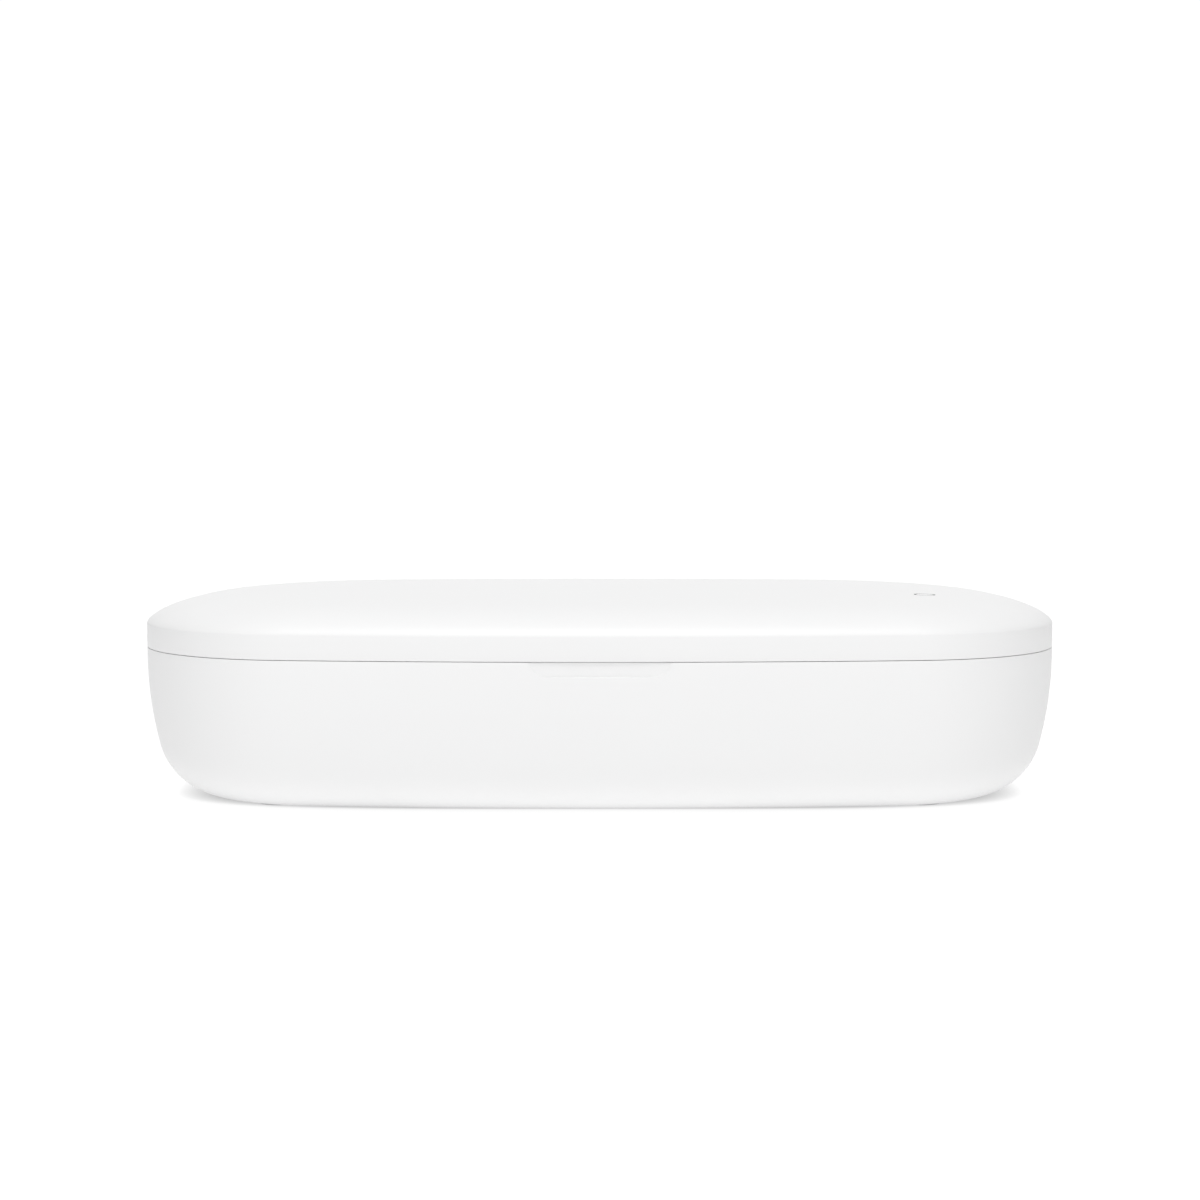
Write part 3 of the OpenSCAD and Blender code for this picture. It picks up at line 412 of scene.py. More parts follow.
def copies(piece, moves, name):
    """Copies a piece to each move, every copy with its own mesh, and joins them."""
    group = [piece]
    for x, y in moves:
        bpy.ops.object.select_all(action="DESELECT")
        bpy.context.view_layer.objects.active = piece
        piece.select_set(True)
        bpy.ops.object.duplicate(linked=False)
        bpy.ops.transform.translate(value=(x * MM, y * MM, 0))
        bpy.ops.object.transform_apply(location=True, rotation=True, scale=True)
        group.append(bpy.context.object)
    return join(group, name)


FOOT_H, DISH_R, DISH_H = 1.48, 4.3, 0.25
foot = post(-FOOT_X, -FOOT_Y, FOOT_R, 0, FOOT_H, 72)
combine(foot, post(-FOOT_X, -FOOT_Y, DISH_R, -DISH_H, DISH_H, 72))
soften(foot, 0.28, 4, lambda x, y, z: z < 0.3)
outward()
moves = [(2 * FOOT_X, 0), (0, 2 * FOOT_Y), (2 * FOOT_X, 2 * FOOT_Y)]
feet = copies(foot, moves, "rubber_feet_moulded")
smooth(feet)
foot_rubber = moulded("foot_rubber", (0.56, 0.56, 0.57), (0.5, 0.5, 0.51), 0.72, 0.22, 0.01, 6.0)
wear(feet, foot_rubber, "base", "soft_white", "rubber_feet")


def metal(name, light, dark, roughness, stretch=(1, 1, 1), grain=0.5, depth=0.002):
    """Bare or plated metal: fine marks, stretched along the way it was worked."""
    material = bpy.data.materials.new(name)
    material.use_nodes = True
    tree, shader = material.node_tree, material.node_tree.nodes["Principled BSDF"]
    shader.inputs["Metallic"].default_value = 1.0
    place = tree.nodes.new("ShaderNodeTexCoord")
    worked = tree.nodes.new("ShaderNodeMapping")
    worked.inputs["Scale"].default_value = stretch
    marks = tree.nodes.new("ShaderNodeTexNoise")
    marks.inputs["Scale"].default_value = 1 / (grain * MM)
    marks.inputs["Detail"].default_value = 4.0
    tone = tree.nodes.new("ShaderNodeMix")
    tone.data_type = "RGBA"
    tone.inputs["A"].default_value = (*dark, 1)
    tone.inputs["B"].default_value = (*light, 1)
    gloss = tree.nodes.new("ShaderNodeMapRange")
    gloss.inputs["To Min"].default_value = roughness * 0.8
    gloss.inputs["To Max"].default_value = roughness * 1.2
    bump = tree.nodes.new("ShaderNodeBump")
    bump.inputs["Strength"].default_value = 0.3
    bump.inputs["Distance"].default_value = depth * MM
    link = tree.links.new
    link(place.outputs["Object"], worked.inputs["Vector"])
    link(worked.outputs["Vector"], marks.inputs["Vector"])
    link(marks.outputs["Fac"], tone.inputs["Factor"])
    link(marks.outputs["Fac"], gloss.inputs["Value"])
    link(tone.outputs["Result"], shader.inputs["Base Color"])
    link(gloss.outputs["Result"], shader.inputs["Roughness"])
    link(marks.outputs["Fac"], bump.inputs["Height"])
    link(bump.outputs["Normal"], shader.inputs["Normal"])
    return material


def dress(material, *names):
    """Gives CAD nodes a material."""
    for name in names:
        for slot in nodes[name].material_slots:
            slot.material = material


zinc = metal("zinc_plate", (0.78, 0.79, 0.8), (0.66, 0.67, 0.7), 0.3)
dress(zinc, "base_screws", "board_screws")

# ---- Main board ----
# Glass-epoxy board screwed to four posts on the base floor. It carries the charging
# socket, the inverter that drives both lamps, and the connectors of their leads.


def solder_mask(name, light, dark):
    """Green lacquer over copper tracks that stand up a little under it."""
    material = bpy.data.materials.new(name)
    material.use_nodes = True
    tree, shader = material.node_tree, material.node_tree.nodes["Principled BSDF"]
    shader.inputs["Roughness"].default_value = 0.35
    place = tree.nodes.new("ShaderNodeTexCoord")
    tracks = tree.nodes.new("ShaderNodeTexVoronoi")
    tracks.feature = "DISTANCE_TO_EDGE"
    tracks.inputs["Scale"].default_value = 300.0
    tracks.inputs["Randomness"].default_value = 0.6
    raised = tree.nodes.new("ShaderNodeMapRange")
    raised.inputs["From Min"].default_value = 0.08
    raised.inputs["From Max"].default_value = 0.13
    raised.inputs["To Min"].default_value = 1.0
    raised.inputs["To Max"].default_value = 0.0
    tone = tree.nodes.new("ShaderNodeMix")
    tone.data_type = "RGBA"
    tone.inputs["A"].default_value = (*dark, 1)
    tone.inputs["B"].default_value = (*light, 1)
    bump = tree.nodes.new("ShaderNodeBump")
    bump.inputs["Strength"].default_value = 0.5
    bump.inputs["Distance"].default_value = 0.035 * MM
    link = tree.links.new
    link(place.outputs["Object"], tracks.inputs["Vector"])
    link(tracks.outputs["Distance"], raised.inputs["Value"])
    link(raised.outputs["Result"], tone.inputs["Factor"])
    link(tone.outputs["Result"], shader.inputs["Base Color"])
    link(raised.outputs["Result"], bump.inputs["Height"])
    link(bump.outputs["Normal"], shader.inputs["Normal"])
    return material


dress(solder_mask("green_solder_mask", (0.045, 0.23, 0.12), (0.02, 0.13, 0.07)),
      "main_board", "lid_sensor", "button_board")
dress(moulded("sintered_ferrite", (0.07, 0.07, 0.075), (0.05, 0.05, 0.055), 0.6, 0.2, 0.01, 3.0),
      "transformer_core")
black_epoxy = moulded("black_epoxy", (0.03, 0.03, 0.032), (0.022, 0.022, 0.024), 0.45,
                      0.12, 0.006, 4.0)
dress(black_epoxy, "board_chips", "button_switch")
dress(moulded("natural_nylon", (0.8, 0.77, 0.68), (0.74, 0.71, 0.62), 0.5, 0.3, 0.006, 6.0),
      "lead_connectors", "switch_plunger")
dress(metal("drawn_aluminium", (0.75, 0.76, 0.77), (0.66, 0.67, 0.68), 0.32, (1, 1, 0.1)),
      "capacitors")
dress(metal("enamelled_copper", (0.72, 0.3, 0.12), (0.42, 0.15, 0.05), 0.28, (0.05, 1, 1),
            0.28, 0.03), "transformer_winding")

# ---- Charging socket ----
# A drawn steel shell on the board, seen through the opening in the rear wall. Inside it
# is a black tongue, with a row of gold-plated contacts above and one below. The mirror step
# merges the two rows, so they lie flat in the middle of the tongue, where they don't show.

SHEET_T, CAN_DEPTH = 0.3, 7.35
CAVITY = CAN_DEPTH - 2 * SHEET_T
socket_shell = block((-CAN_X, SOCKET_Y - CAN_DEPTH, SOCKET_Z - CAN_Z),
                     (CAN_X, SOCKET_Y, SOCKET_Z + CAN_Z), CAN_Z - 0.01, 1, 10)
combine(socket_shell, block((SHEET_T - CAN_X, SOCKET_Y - CAVITY, SOCKET_Z - CAN_Z + SHEET_T),
                            (CAN_X - SHEET_T, SOCKET_Y + 2, SOCKET_Z + CAN_Z - SHEET_T),
                            CAN_Z - SHEET_T - 0.01, 1, 10))
soften(socket_shell, 0.07, 2, lambda x, y, z: y > SOCKET_Y - 0.01)
smooth(socket_shell)
socket_shell.name = "socket_shell_drawn"
wear(socket_shell, metal("bright_nickel", (0.82, 0.8, 0.77), (0.7, 0.69, 0.67), 0.2), "base",
     "steel", "socket_shell")

TONGUE_X, TONGUE_Z = 3.35, 0.35
socket_tongue = block((-TONGUE_X, SOCKET_Y - CAVITY, SOCKET_Z - TONGUE_Z),
                      (TONGUE_X, SOCKET_Y - 0.8, SOCKET_Z + TONGUE_Z), 0.5, 2, 4)
combine(socket_tongue, block((-2.8, SOCKET_Y - CAVITY + 0.01, SOCKET_Z - CAN_Z + SHEET_T),
                             (2.8, SOCKET_Y - 5.15, SOCKET_Z + CAN_Z - SHEET_T)), "UNION")
soften(socket_tongue, 0.12, 2, lambda x, y, z: y > SOCKET_Y - 2)
smooth(socket_tongue)
socket_tongue.name = "socket_tongue_moulded"
wear(socket_tongue, black_epoxy, "base", "component_black", "socket_tongue")

CONTACT_PITCH, CONTACTS = 0.5, 12
contact = block((-2.87, SOCKET_Y - 4.6, SOCKET_Z + TONGUE_Z - 0.01),
                (-2.63, SOCKET_Y - 1.1, SOCKET_Z + TONGUE_Z + 0.02))
soften(contact, 0.01, 1, lambda x, y, z: z > SOCKET_Z + TONGUE_Z + 0.01)
row = copies(contact, [(CONTACT_PITCH * k, 0) for k in range(1, CONTACTS)], "socket_contacts")
bpy.ops.object.modifier_add(type="MIRROR")
row.modifiers[-1].use_axis = (False, False, True)
bpy.ops.object.empty_add(location=(0, 0, SOCKET_Z * MM))
middle = bpy.context.object
row.modifiers[-1].mirror_object = middle
bpy.ops.object.select_all(action="DESELECT")
bpy.context.view_layer.objects.active = row
row.select_set(True)
bpy.ops.object.modifier_apply(modifier=row.modifiers[-1].name)
bpy.data.objects.remove(middle)
wear(row, metal("gold_plate", (0.95, 0.7, 0.3), (0.85, 0.6, 0.22), 0.2), "base", "steel")

# ---- Chamber tub ----
# A drafted tray in very light grey, UV-proof plastic. Its flange drops into the base and
# rests on the ledge. The floor has a window over the lower lamp and four posts below.


def hinge_relief(low, high, front):
    """Room for the hinge along the rear edge of a plate."""
    return block((-TROUGH_HALF - FIT, front, low), (TROUGH_HALF + FIT, 90, high))


BAY_TOP = FLOOR_TOP + 11.8
TUB_FLOOR, FLANGE_X, LOW_EDGE, HIGH_EDGE = BAY_TOP + TUB_WALL, HALF_L - WALL - FIT, 0.15, 0.25
MOUTH_X, MOUTH_R, MOUTH_TURN, DRAFT, LEAN = HALF_L - 12.2, 0.8, 80.1, 2.5, 9.6
FILLET_R = 5.0
CORNER_X, CORNER_Z = MOUTH_X - DRAFT - FILLET_R, TUB_FLOOR + FILLET_R

tub = begin("chamber_tub_moulded", CORNER_X, BAY_TOP)
arc(CORNER_X, CORNER_Z, 90, 10)
line(MOUTH_X + TUB_WALL, LEDGE_Z)
line(FLANGE_X - LOW_EDGE, LEDGE_Z)
arc(FLANGE_X - LOW_EDGE, LEDGE_Z + LOW_EDGE, 90, 2)
line(FLANGE_X, FLANGE_Z - HIGH_EDGE)
arc(FLANGE_X - HIGH_EDGE, FLANGE_Z - HIGH_EDGE, 90, 3)
line(MOUTH_X + MOUTH_R, FLANGE_Z)
arc(MOUTH_X + MOUTH_R, FLANGE_Z - MOUTH_R, MOUTH_TURN, 8)
line(CORNER_X + FILLET_R * cos(radians(LEAN)), CORNER_Z - FILLET_R * sin(radians(LEAN)))
arc(CORNER_X, CORNER_Z, LEAN - 90, 14)
sweep()
close_ring(BAY_TOP)
close_ring(TUB_FLOOR)
outward()
combine(tub, hinge_relief(34, 38, TROUGH_FRONT - FIT))
combine(tub, block((-PAD_HALF - FIT, -70, 34), (PAD_HALF + FIT, PAD_Y + FIT, 38)))

# The window over the lamp, as wide as the reflector's trough, and the posts for the screws
REFLECTOR_L, REFLECTOR_H, FOCUS, WINDOW_T = 140.0, 5.6, 2.8, 1.2
REFLECTOR_HALF = 2 * sqrt(FOCUS * REFLECTOR_H)
WINDOW_X, WINDOW_Y, WINDOW_CORNER = REFLECTOR_L / 2 - 12, REFLECTOR_HALF - 0.9, 4.0
LAMP_SCREW_X, LAMP_SCREW_R, LAMP_BOSS_R = REFLECTOR_L / 2 + 4, 1.0, 2.6
combine(tub, block((-WINDOW_X, -WINDOW_Y, 10), (WINDOW_X, WINDOW_Y, 20), WINDOW_CORNER, 2, 10))
soften(tub, 0.45, 4, lambda x, y, z: (TUB_FLOOR - 0.05 < z < TUB_FLOOR + 0.5
                                      and abs(x) < WINDOW_X + 1 and abs(y) < WINDOW_Y + 0.98))
for x, y in FEET:
    combine(tub, post(x, y, 3.6, BOSS_TOP, TUB_FLOOR - 0.5), "UNION")
    combine(tub, post(x, y, SHANK_R, BOSS_TOP - 0.05, BAY_TOP - 0.55, 24))
for x in (-LAMP_SCREW_X, LAMP_SCREW_X):
    combine(tub, post(x, 0, LAMP_BOSS_R, BAY_TOP - WINDOW_T, BAY_TOP + 0.8), "UNION")
    combine(tub, post(x, 0, LAMP_SCREW_R, BAY_TOP - 1.7, BAY_TOP + 0.5, 24))
smooth(tub)
tub_grey = moulded("uv_proof_grey", (0.72, 0.73, 0.745), (0.69, 0.7, 0.715), 0.38, 0.3, 0.006, 40.0)
wear(tub, tub_grey, "base", "tub_grey", "chamber_tub")

dress(zinc, "catch_plates")

# ---- Lamp units ----
# One under the chamber floor and one in the lid: a slim quartz discharge tube with a
# nickel cup at each end, held by silicone blocks in a bright folded trough. A quartz
# window covers the trough, and one screw at each end holds the unit.

LINER_Z = SEAM_Z + SEAM_GAP
LINER_TOP, LAMP_L, LAMP_R = LINER_Z + 1.4, REFLECTOR_L - 12, 2.0


def clear_glass(name, tint, roughness):
    """Clear glass with a faint ripple left by drawing."""
    material = bpy.data.materials.new(name)
    material.use_nodes = True
    tree, shader = material.node_tree, material.node_tree.nodes["Principled BSDF"]
    shader.inputs["IOR"].default_value = 1.46
    shader.inputs["Transmission Weight"].default_value = 1.0
    shader.inputs["Base Color"].default_value = (*tint, 1)
    place = tree.nodes.new("ShaderNodeTexCoord")
    ripple = tree.nodes.new("ShaderNodeTexNoise")
    ripple.inputs["Scale"].default_value = 180.0
    gloss = tree.nodes.new("ShaderNodeMapRange")
    gloss.inputs["To Min"].default_value = roughness
    gloss.inputs["To Max"].default_value = roughness * 2
    bump = tree.nodes.new("ShaderNodeBump")
    bump.inputs["Strength"].default_value = 0.15
    bump.inputs["Distance"].default_value = 0.02 * MM
    link = tree.links.new
    link(place.outputs["Object"], ripple.inputs["Vector"])
    link(ripple.outputs["Fac"], gloss.inputs["Value"])
    link(gloss.outputs["Result"], shader.inputs["Roughness"])
    link(ripple.outputs["Fac"], bump.inputs["Height"])
    link(bump.outputs["Normal"], shader.inputs["Normal"])
    return material


quartz = clear_glass("quartz_plate", (0.97, 0.985, 1.0), 0.02)
lamp_quartz = clear_glass("quartz_tube", (0.84, 0.88, 0.96), 0.04)
lamp_quartz.node_tree.nodes["Principled BSDF"].inputs["Transmission Weight"].default_value = 0.7
bright_sheet = metal("bright_aluminium", (0.6, 0.61, 0.63), (0.53, 0.54, 0.56), 0.3,
                     (0.02, 1, 1), 0.5, 0.004)
nickel = metal("nickel_cup", (0.7, 0.67, 0.62), (0.6, 0.57, 0.53), 0.3)
silicone = moulded("clear_white_silicone", (0.8, 0.8, 0.79), (0.76, 0.76, 0.75), 0.6,
                   0.4, 0.006, 8.0)


def reflector(name, back, up):
    """A parabola with a flat lip along each side, and a tab at each end."""
    steps, lip, tab_half = 20, 3.5, 11.4
    lip_z = back - up * (WINDOW_T + 0.25)
    piece = begin(name, REFLECTOR_HALF + lip, lip_z)
    line(REFLECTOR_HALF + 0.2, lip_z)
    for k in range(1, 2 * steps):
        reach = REFLECTOR_HALF * (1 - k / steps)
        line(reach, back - up * (WINDOW_T + REFLECTOR_H - reach * reach / (4 * FOCUS)))
    line(-REFLECTOR_HALF - 0.2, lip_z)
    line(-REFLECTOR_HALF - lip, lip_z)
    bpy.ops.mesh.select_all(action="SELECT")
    bpy.ops.transform.translate(value=(0, -REFLECTOR_L / 2 * MM, 0))
    bpy.ops.mesh.extrude_region_move(TRANSFORM_OT_translate={"value": (0, REFLECTOR_L * MM, 0)})
    outward()
    bpy.ops.object.modifier_add(type="SOLIDIFY")
    wall = piece.modifiers[-1]
    wall.thickness, wall.offset = 0.42 * MM, 0.0
    bpy.ops.object.modifier_apply(modifier=wall.name)
    piece.rotation_euler.z = radians(90)
    bpy.ops.object.transform_apply(location=False, rotation=True, scale=False)
    tabs = [piece]
    low_z, high_z = sorted(back - up * (WINDOW_T + gap) for gap in (0.04, 0.46))
    for x in (-1, 1):
        low_x, high_x = sorted((x * (REFLECTOR_L / 2 + 0.05), x * (LAMP_SCREW_X + LAMP_BOSS_R)))
        tab = block((low_x, -tab_half, low_z), (high_x, tab_half, high_z), 1.0, 2, 5)
        hole = rod((x * LAMP_SCREW_X, 0, back - up * 1.5), LAMP_SCREW_R + 0.1, 3, sides=24)
        tabs.append(combine(tab, hole))
    join(tabs, name)
    smooth(piece, 25)
    return piece


def lamp_tube(name, height):
    """A sealed tube, hollow inside, with rounded ends."""
    tube = rod((0, 0, height), LAMP_R, LAMP_L, "x", 56)
    soften(tube, 1.2, 6, lambda x, y, z: abs(x) > LAMP_L / 2 - 0.1)
    bore = rod((0, 0, height), LAMP_R - 0.5, LAMP_L - 4, "x", 56)
    soften(bore, 0.9, 4, lambda x, y, z: abs(x) > LAMP_L / 2 - 2.1)
    combine(tube, bore)
    tube.name = tube.data.name = name
    return smooth(tube)


def lamp_cups(name, height):
    """The nickel cups inside the two ends of a tube, each on its lead wire."""
    cup_x, cup_l, cup_r = 55.5, 7.0, 0.95
    wire_x, wire_l, wire_r = 60.4, 3.1, 0.25
    parts = []
    for side in (-1, 1):
        cup = rod((side * cup_x, 0, height), cup_r, cup_l, "x", 32)
        combine(cup, rod((side * (cup_x - 3), 0, height), cup_r - 0.15, 4.0, "x", 32))
        wire = rod((side * wire_x, 0, height), wire_r, wire_l, "x", 16)
        parts.append(combine(cup, wire, "UNION"))
        soften(cup, 0.05, 2, lambda x, y, z: abs(x) < cup_x - cup_l / 2 + 0.1)
    return smooth(join(parts, name))


for half, body, back, up in (("lower", "base", BAY_TOP, 1), ("upper", "lid", LINER_TOP, -1)):
    lamp_z = back - up * (WINDOW_T + REFLECTOR_H - FOCUS)
    wear(reflector(half + "_reflector_folded", back, up), bright_sheet, body, "mirror_sheet",
         half + "_reflector")
    wear(lamp_tube(half + "_lamp_tube", lamp_z), lamp_quartz, body, "lamp_glass", half + "_lamp")
    wear(lamp_cups(half + "_lamp_cups", lamp_z), nickel, body, "steel")
    dress(quartz, half + "_window")
    dress(nickel, half + "_lamp_caps")
    dress(silicone, half + "_lamp_holders")
    dress(zinc, half + "_lamp_screws")

# ---- Phone rails ----
# Two soft white silicone rails, bonded to the chamber floor, that hold the phone clear
# of it so that the light reaches its underside. Their tops are rounded.

RAIL_X, RAIL_Y, RAIL_W, RAIL_TOP = 62, 24, 4, TUB_FLOOR + 2.5
rail = block((-RAIL_X, -RAIL_Y - RAIL_W / 2, TUB_FLOOR), (RAIL_X, -RAIL_Y + RAIL_W / 2, RAIL_TOP),
             RAIL_W / 2 - 0.01, 2, 8)
soften(rail, 0.8, 5, lambda x, y, z: z > RAIL_TOP - 0.01)
rails = copies(rail, [(0, 2 * RAIL_Y)], "phone_rails_moulded")
smooth(rails, 40)
soft_white = moulded("white_silicone", (0.84, 0.84, 0.845), (0.8, 0.8, 0.805), 0.55,
                     0.25, 0.008, 12.0)
wear(rails, soft_white, "base", "soft_white", "phone_rails")

# ---- Hinge pins ----
# Two short ground steel pins, pressed through the ears of the base. The lid's knuckles
# turn on their ends.

dress(metal("ground_steel", (0.8, 0.81, 0.82), (0.7, 0.71, 0.73), 0.2, (8, 1, 1)), "hinge_pins")

# ---- Lid shell ----
# The upper half, moulded in the same white ABS: an upright band, a low crown that
# rolls over at the rim, and a block of knuckles along the rear that turns on two pins.

LID_Z, RIM_Z, CROWN_H, LID_WALL = SEAM_Z + SEAM_GAP / 2, SEAM_Z + 5.8, 6.1, 2.2
INNER_RIM_Z = RIM_Z - 0.2


def rise(share):
    """How far the crown has risen where a ring is this share of the rim's size."""
    return (1 - min(share, 1.0) ** 10.2) ** 0.71


def crown(height, steps):
    """Draws the selected ring in towards the middle, up over the crown, and closes it."""
    bpy.ops.mesh.select_mode(type="EDGE")
    before = 1.0
    for k in range(steps + 1):
        share = cos(radians(85 * (k / steps) ** 1.25)) if k else 0.99992
        up = height * (rise(share) - rise(before))
        bpy.ops.mesh.extrude_region_move(TRANSFORM_OT_translate={"value": (0, 0, up * MM)})
        bpy.ops.transform.resize(value=(share / before, share / before, 1),
                                 center_override=(0, 0, 0))
        before = share
    bpy.ops.mesh.edge_face_add()


lid_shell = begin("lid_shell_moulded", HALF_L - LID_WALL, INNER_RIM_Z)
line(HALF_L - LID_WALL, LID_Z + INNER_EDGE)
arc(HALF_L - LID_WALL + INNER_EDGE, LID_Z + INNER_EDGE, 90, 3)
line(HALF_L - SEAM_EDGE, LID_Z)
arc(HALF_L - SEAM_EDGE, LID_Z + SEAM_EDGE, 90, 3)
line(HALF_L, RIM_Z)
sweep()
pick(lambda x, y, z: abs(z - RIM_Z) < 0.002)
crown(CROWN_H, 34)
pick(lambda x, y, z: abs(z - INNER_RIM_Z) < 0.002)
crown(CROWN_H - LID_WALL, 16)
outward()

# Knuckles, with a pocket round each ear and a bore for each pin, and the screw posts
KNUCKLE_X, POCKET_X, BORE_R = 64.05, EAR_W / 2 + KNUCKLE_GAP, 1.05
knuckle = combine(rod((0, AXIS_Y, AXIS_Z), KNUCKLE_R, 2 * KNUCKLE_X, "x", 96),
                  block((-KNUCKLE_X, AXIS_Y - KNUCKLE_R, AXIS_Z),
                        (KNUCKLE_X, AXIS_Y + 6, RIM_Z - 0.5)), "UNION")
combine(knuckle, outline_slab(0.2, 33, RIM_Z), "INTERSECT")
combine(lid_shell, knuckle, "UNION")
for x in (-EAR_X, EAR_X):
    combine(lid_shell, block((x - POCKET_X, AXIS_Y - NOTCH_R - 1, AXIS_Z - NOTCH_R - 1),
                             (x + POCKET_X, AXIS_Y + 6, AXIS_Z + NOTCH_R)))
    combine(lid_shell, rod((x, AXIS_Y, AXIS_Z), BORE_R, 20.6, "x", 32))
LID_SCREW_X, LID_SCREW_Y, PAD_TOP, POST_TOP = 86.0, 34.0, LINER_TOP + 1, 47.25
LID_SCREWS = [(sx * LID_SCREW_X, sy * LID_SCREW_Y) for sx in (-1, 1) for sy in (-1, 1)]
for x, y in LID_SCREWS:
    combine(lid_shell, post(x, y, 3.0, PAD_TOP, POST_TOP), "UNION")
    combine(lid_shell, post(x, y, SHANK_R, LINER_TOP - 0.1, POST_TOP - 1.1, 24))

# The button's hole. The button's face and the sleeve round it are cut to the crown's form
button_low, button_high = corners("power_button")
BUTTON_X, BUTTON_Y = [(a + b) / 2 for a, b in zip(button_low[:2], button_high[:2])]
BUTTON_R, HOLE_R, CROWN_MID = 2.25, 2.7, 46
seal_and_shade_sleeve = rod((BUTTON_X, BUTTON_Y, CROWN_MID), HOLE_R - 0.01, 12, sides=96)
combine(seal_and_shade_sleeve, rod((BUTTON_X, BUTTON_Y, CROWN_MID), BUTTON_R + 0.05, 13, sides=96))
button_face = rod((BUTTON_X, BUTTON_Y, CROWN_MID), BUTTON_R, 12, sides=96)
for flush in (seal_and_shade_sleeve, button_face):
    bpy.ops.object.select_all(action="DESELECT")
    bpy.context.view_layer.objects.active = lid_shell
    lid_shell.select_set(True)
    bpy.ops.object.duplicate(linked=False)
    combine(flush, bpy.context.object, "INTERSECT")
combine(lid_shell, rod((BUTTON_X, BUTTON_Y, CROWN_MID), HOLE_R, 12, sides=96))
soften(lid_shell, 0.03, 2, lambda x, y, z: z > 48.5 and hypot(x - BUTTON_X, y - BUTTON_Y) < 2.8)
smooth(lid_shell)
wear(lid_shell, shell_white, "lid", "shell_white", "lid_shell")

# ---- Lid liner and gasket ----
# A flat plate in the same light grey plastic closes the lid from below, held by four
# pan head screws. It has the upper lamp's window, and a soft seal lies in its groove.

LINER_X, MIDDLE_X, GASKET_X, GASKET_R = HALF_L - LID_WALL - FIT, 94.0, 104.2, 0.8
GROOVE_OUT, GROOVE_IN = GASKET_X + GASKET_R + 0.05, GASKET_X - GASKET_R - 0.05
GROOVE_Z = LINER_Z + 0.6

liner = begin("lid_liner_moulded", MIDDLE_X, LINER_TOP)
line(LINER_X - 0.15, LINER_TOP)
arc(LINER_X - 0.15, LINER_TOP - 0.15, -90, 2)
line(LINER_X, LINER_Z + 0.35)
arc(LINER_X - 0.35, LINER_Z + 0.35, -90, 4)
line(GROOVE_OUT, LINER_Z)
line(GROOVE_OUT, GROOVE_Z)
line(GROOVE_IN, GROOVE_Z)
line(GROOVE_IN, LINER_Z)
line(MIDDLE_X, LINER_Z)
sweep()
close_ring(LINER_TOP)
close_ring(LINER_Z)
outward()
combine(liner, hinge_relief(37, 40, AXIS_Y - KNUCKLE_R - FIT))
combine(liner, block((-WINDOW_X, -WINDOW_Y, 36), (WINDOW_X, WINDOW_Y, 41), WINDOW_CORNER, 2, 10))
soften(liner, 0.4, 4, lambda x, y, z: (z < LINER_Z + 0.01 and abs(x) < WINDOW_X + 1
                                       and abs(y) < WINDOW_Y + 0.98))
HEAD_H = 1.625
for x, y in LID_SCREWS:
    combine(liner, post(x, y, 4.0, LINER_TOP - 0.2, PAD_TOP), "UNION")
    combine(liner, post(x, y, HEAD_R + 0.3, LINER_Z - 0.325, LINER_Z + HEAD_H + 0.1, 64))
    combine(liner, post(x, y, SHANK_R + 0.2, LINER_TOP - 1.2, LINER_TOP + 2.8, 32))
    soften(liner, 0.15, 2, lambda px, py, pz: pz < LINER_Z + 0.01 and hypot(px - x, py - y) < 2.8)
for x in (-LAMP_SCREW_X, LAMP_SCREW_X):
    combine(liner, post(x, 0, LAMP_BOSS_R, LINER_TOP, LINER_TOP + WINDOW_T), "UNION")
    combine(liner, post(x, 0, LAMP_SCREW_R, LINER_TOP - 0.05, LINER_TOP + 1.45, 24))
CATCH_X, CATCH_Y, CATCH_R, SENSOR_X, SENSOR_R = 34.2, -56.4, 3.0, 107.2, 2.0
for x, y, r in ((-CATCH_X, CATCH_Y, CATCH_R), (CATCH_X, CATCH_Y, CATCH_R), (SENSOR_X, 0, SENSOR_R)):
    holder = post(x, y, r + 0.9, LINER_TOP - 0.2, LINER_TOP + 1.6)
    combine(holder, post(x, y, r + 0.05, LINER_TOP, LINER_TOP + 2.6))
    combine(liner, holder, "UNION")
SWITCH_X, SWITCH_Y = BUTTON_X + 1.8, 9
for y in (BUTTON_Y - SWITCH_Y, BUTTON_Y + SWITCH_Y):
    combine(liner, post(SWITCH_X, y, 2.4, LINER_TOP - 0.2, LINER_TOP + 0.8), "UNION")
    combine(liner, post(SWITCH_X, y, LAMP_SCREW_R, LINER_TOP - 0.9, LINER_TOP + 1.3, 24))
smooth(liner)
wear(liner, tub_grey, "lid", "tub_grey", "lid_liner")

gasket = begin("lid_gasket_extruded", GASKET_X + GASKET_R, GROOVE_Z)
line(GASKET_X + GASKET_R, LINER_Z - 0.1)
arc(GASKET_X, LINER_Z - 0.1, -180, 12)
line(GASKET_X - GASKET_R, GROOVE_Z)
line(GASKET_X + GASKET_R, GROOVE_Z)
sweep()
outward()
smooth(gasket)
wear(gasket, moulded("grey_silicone", (0.5, 0.51, 0.53), (0.46, 0.47, 0.49), 0.62,
                     0.25, 0.008, 10.0), "lid", "soft_white", "lid_gasket")

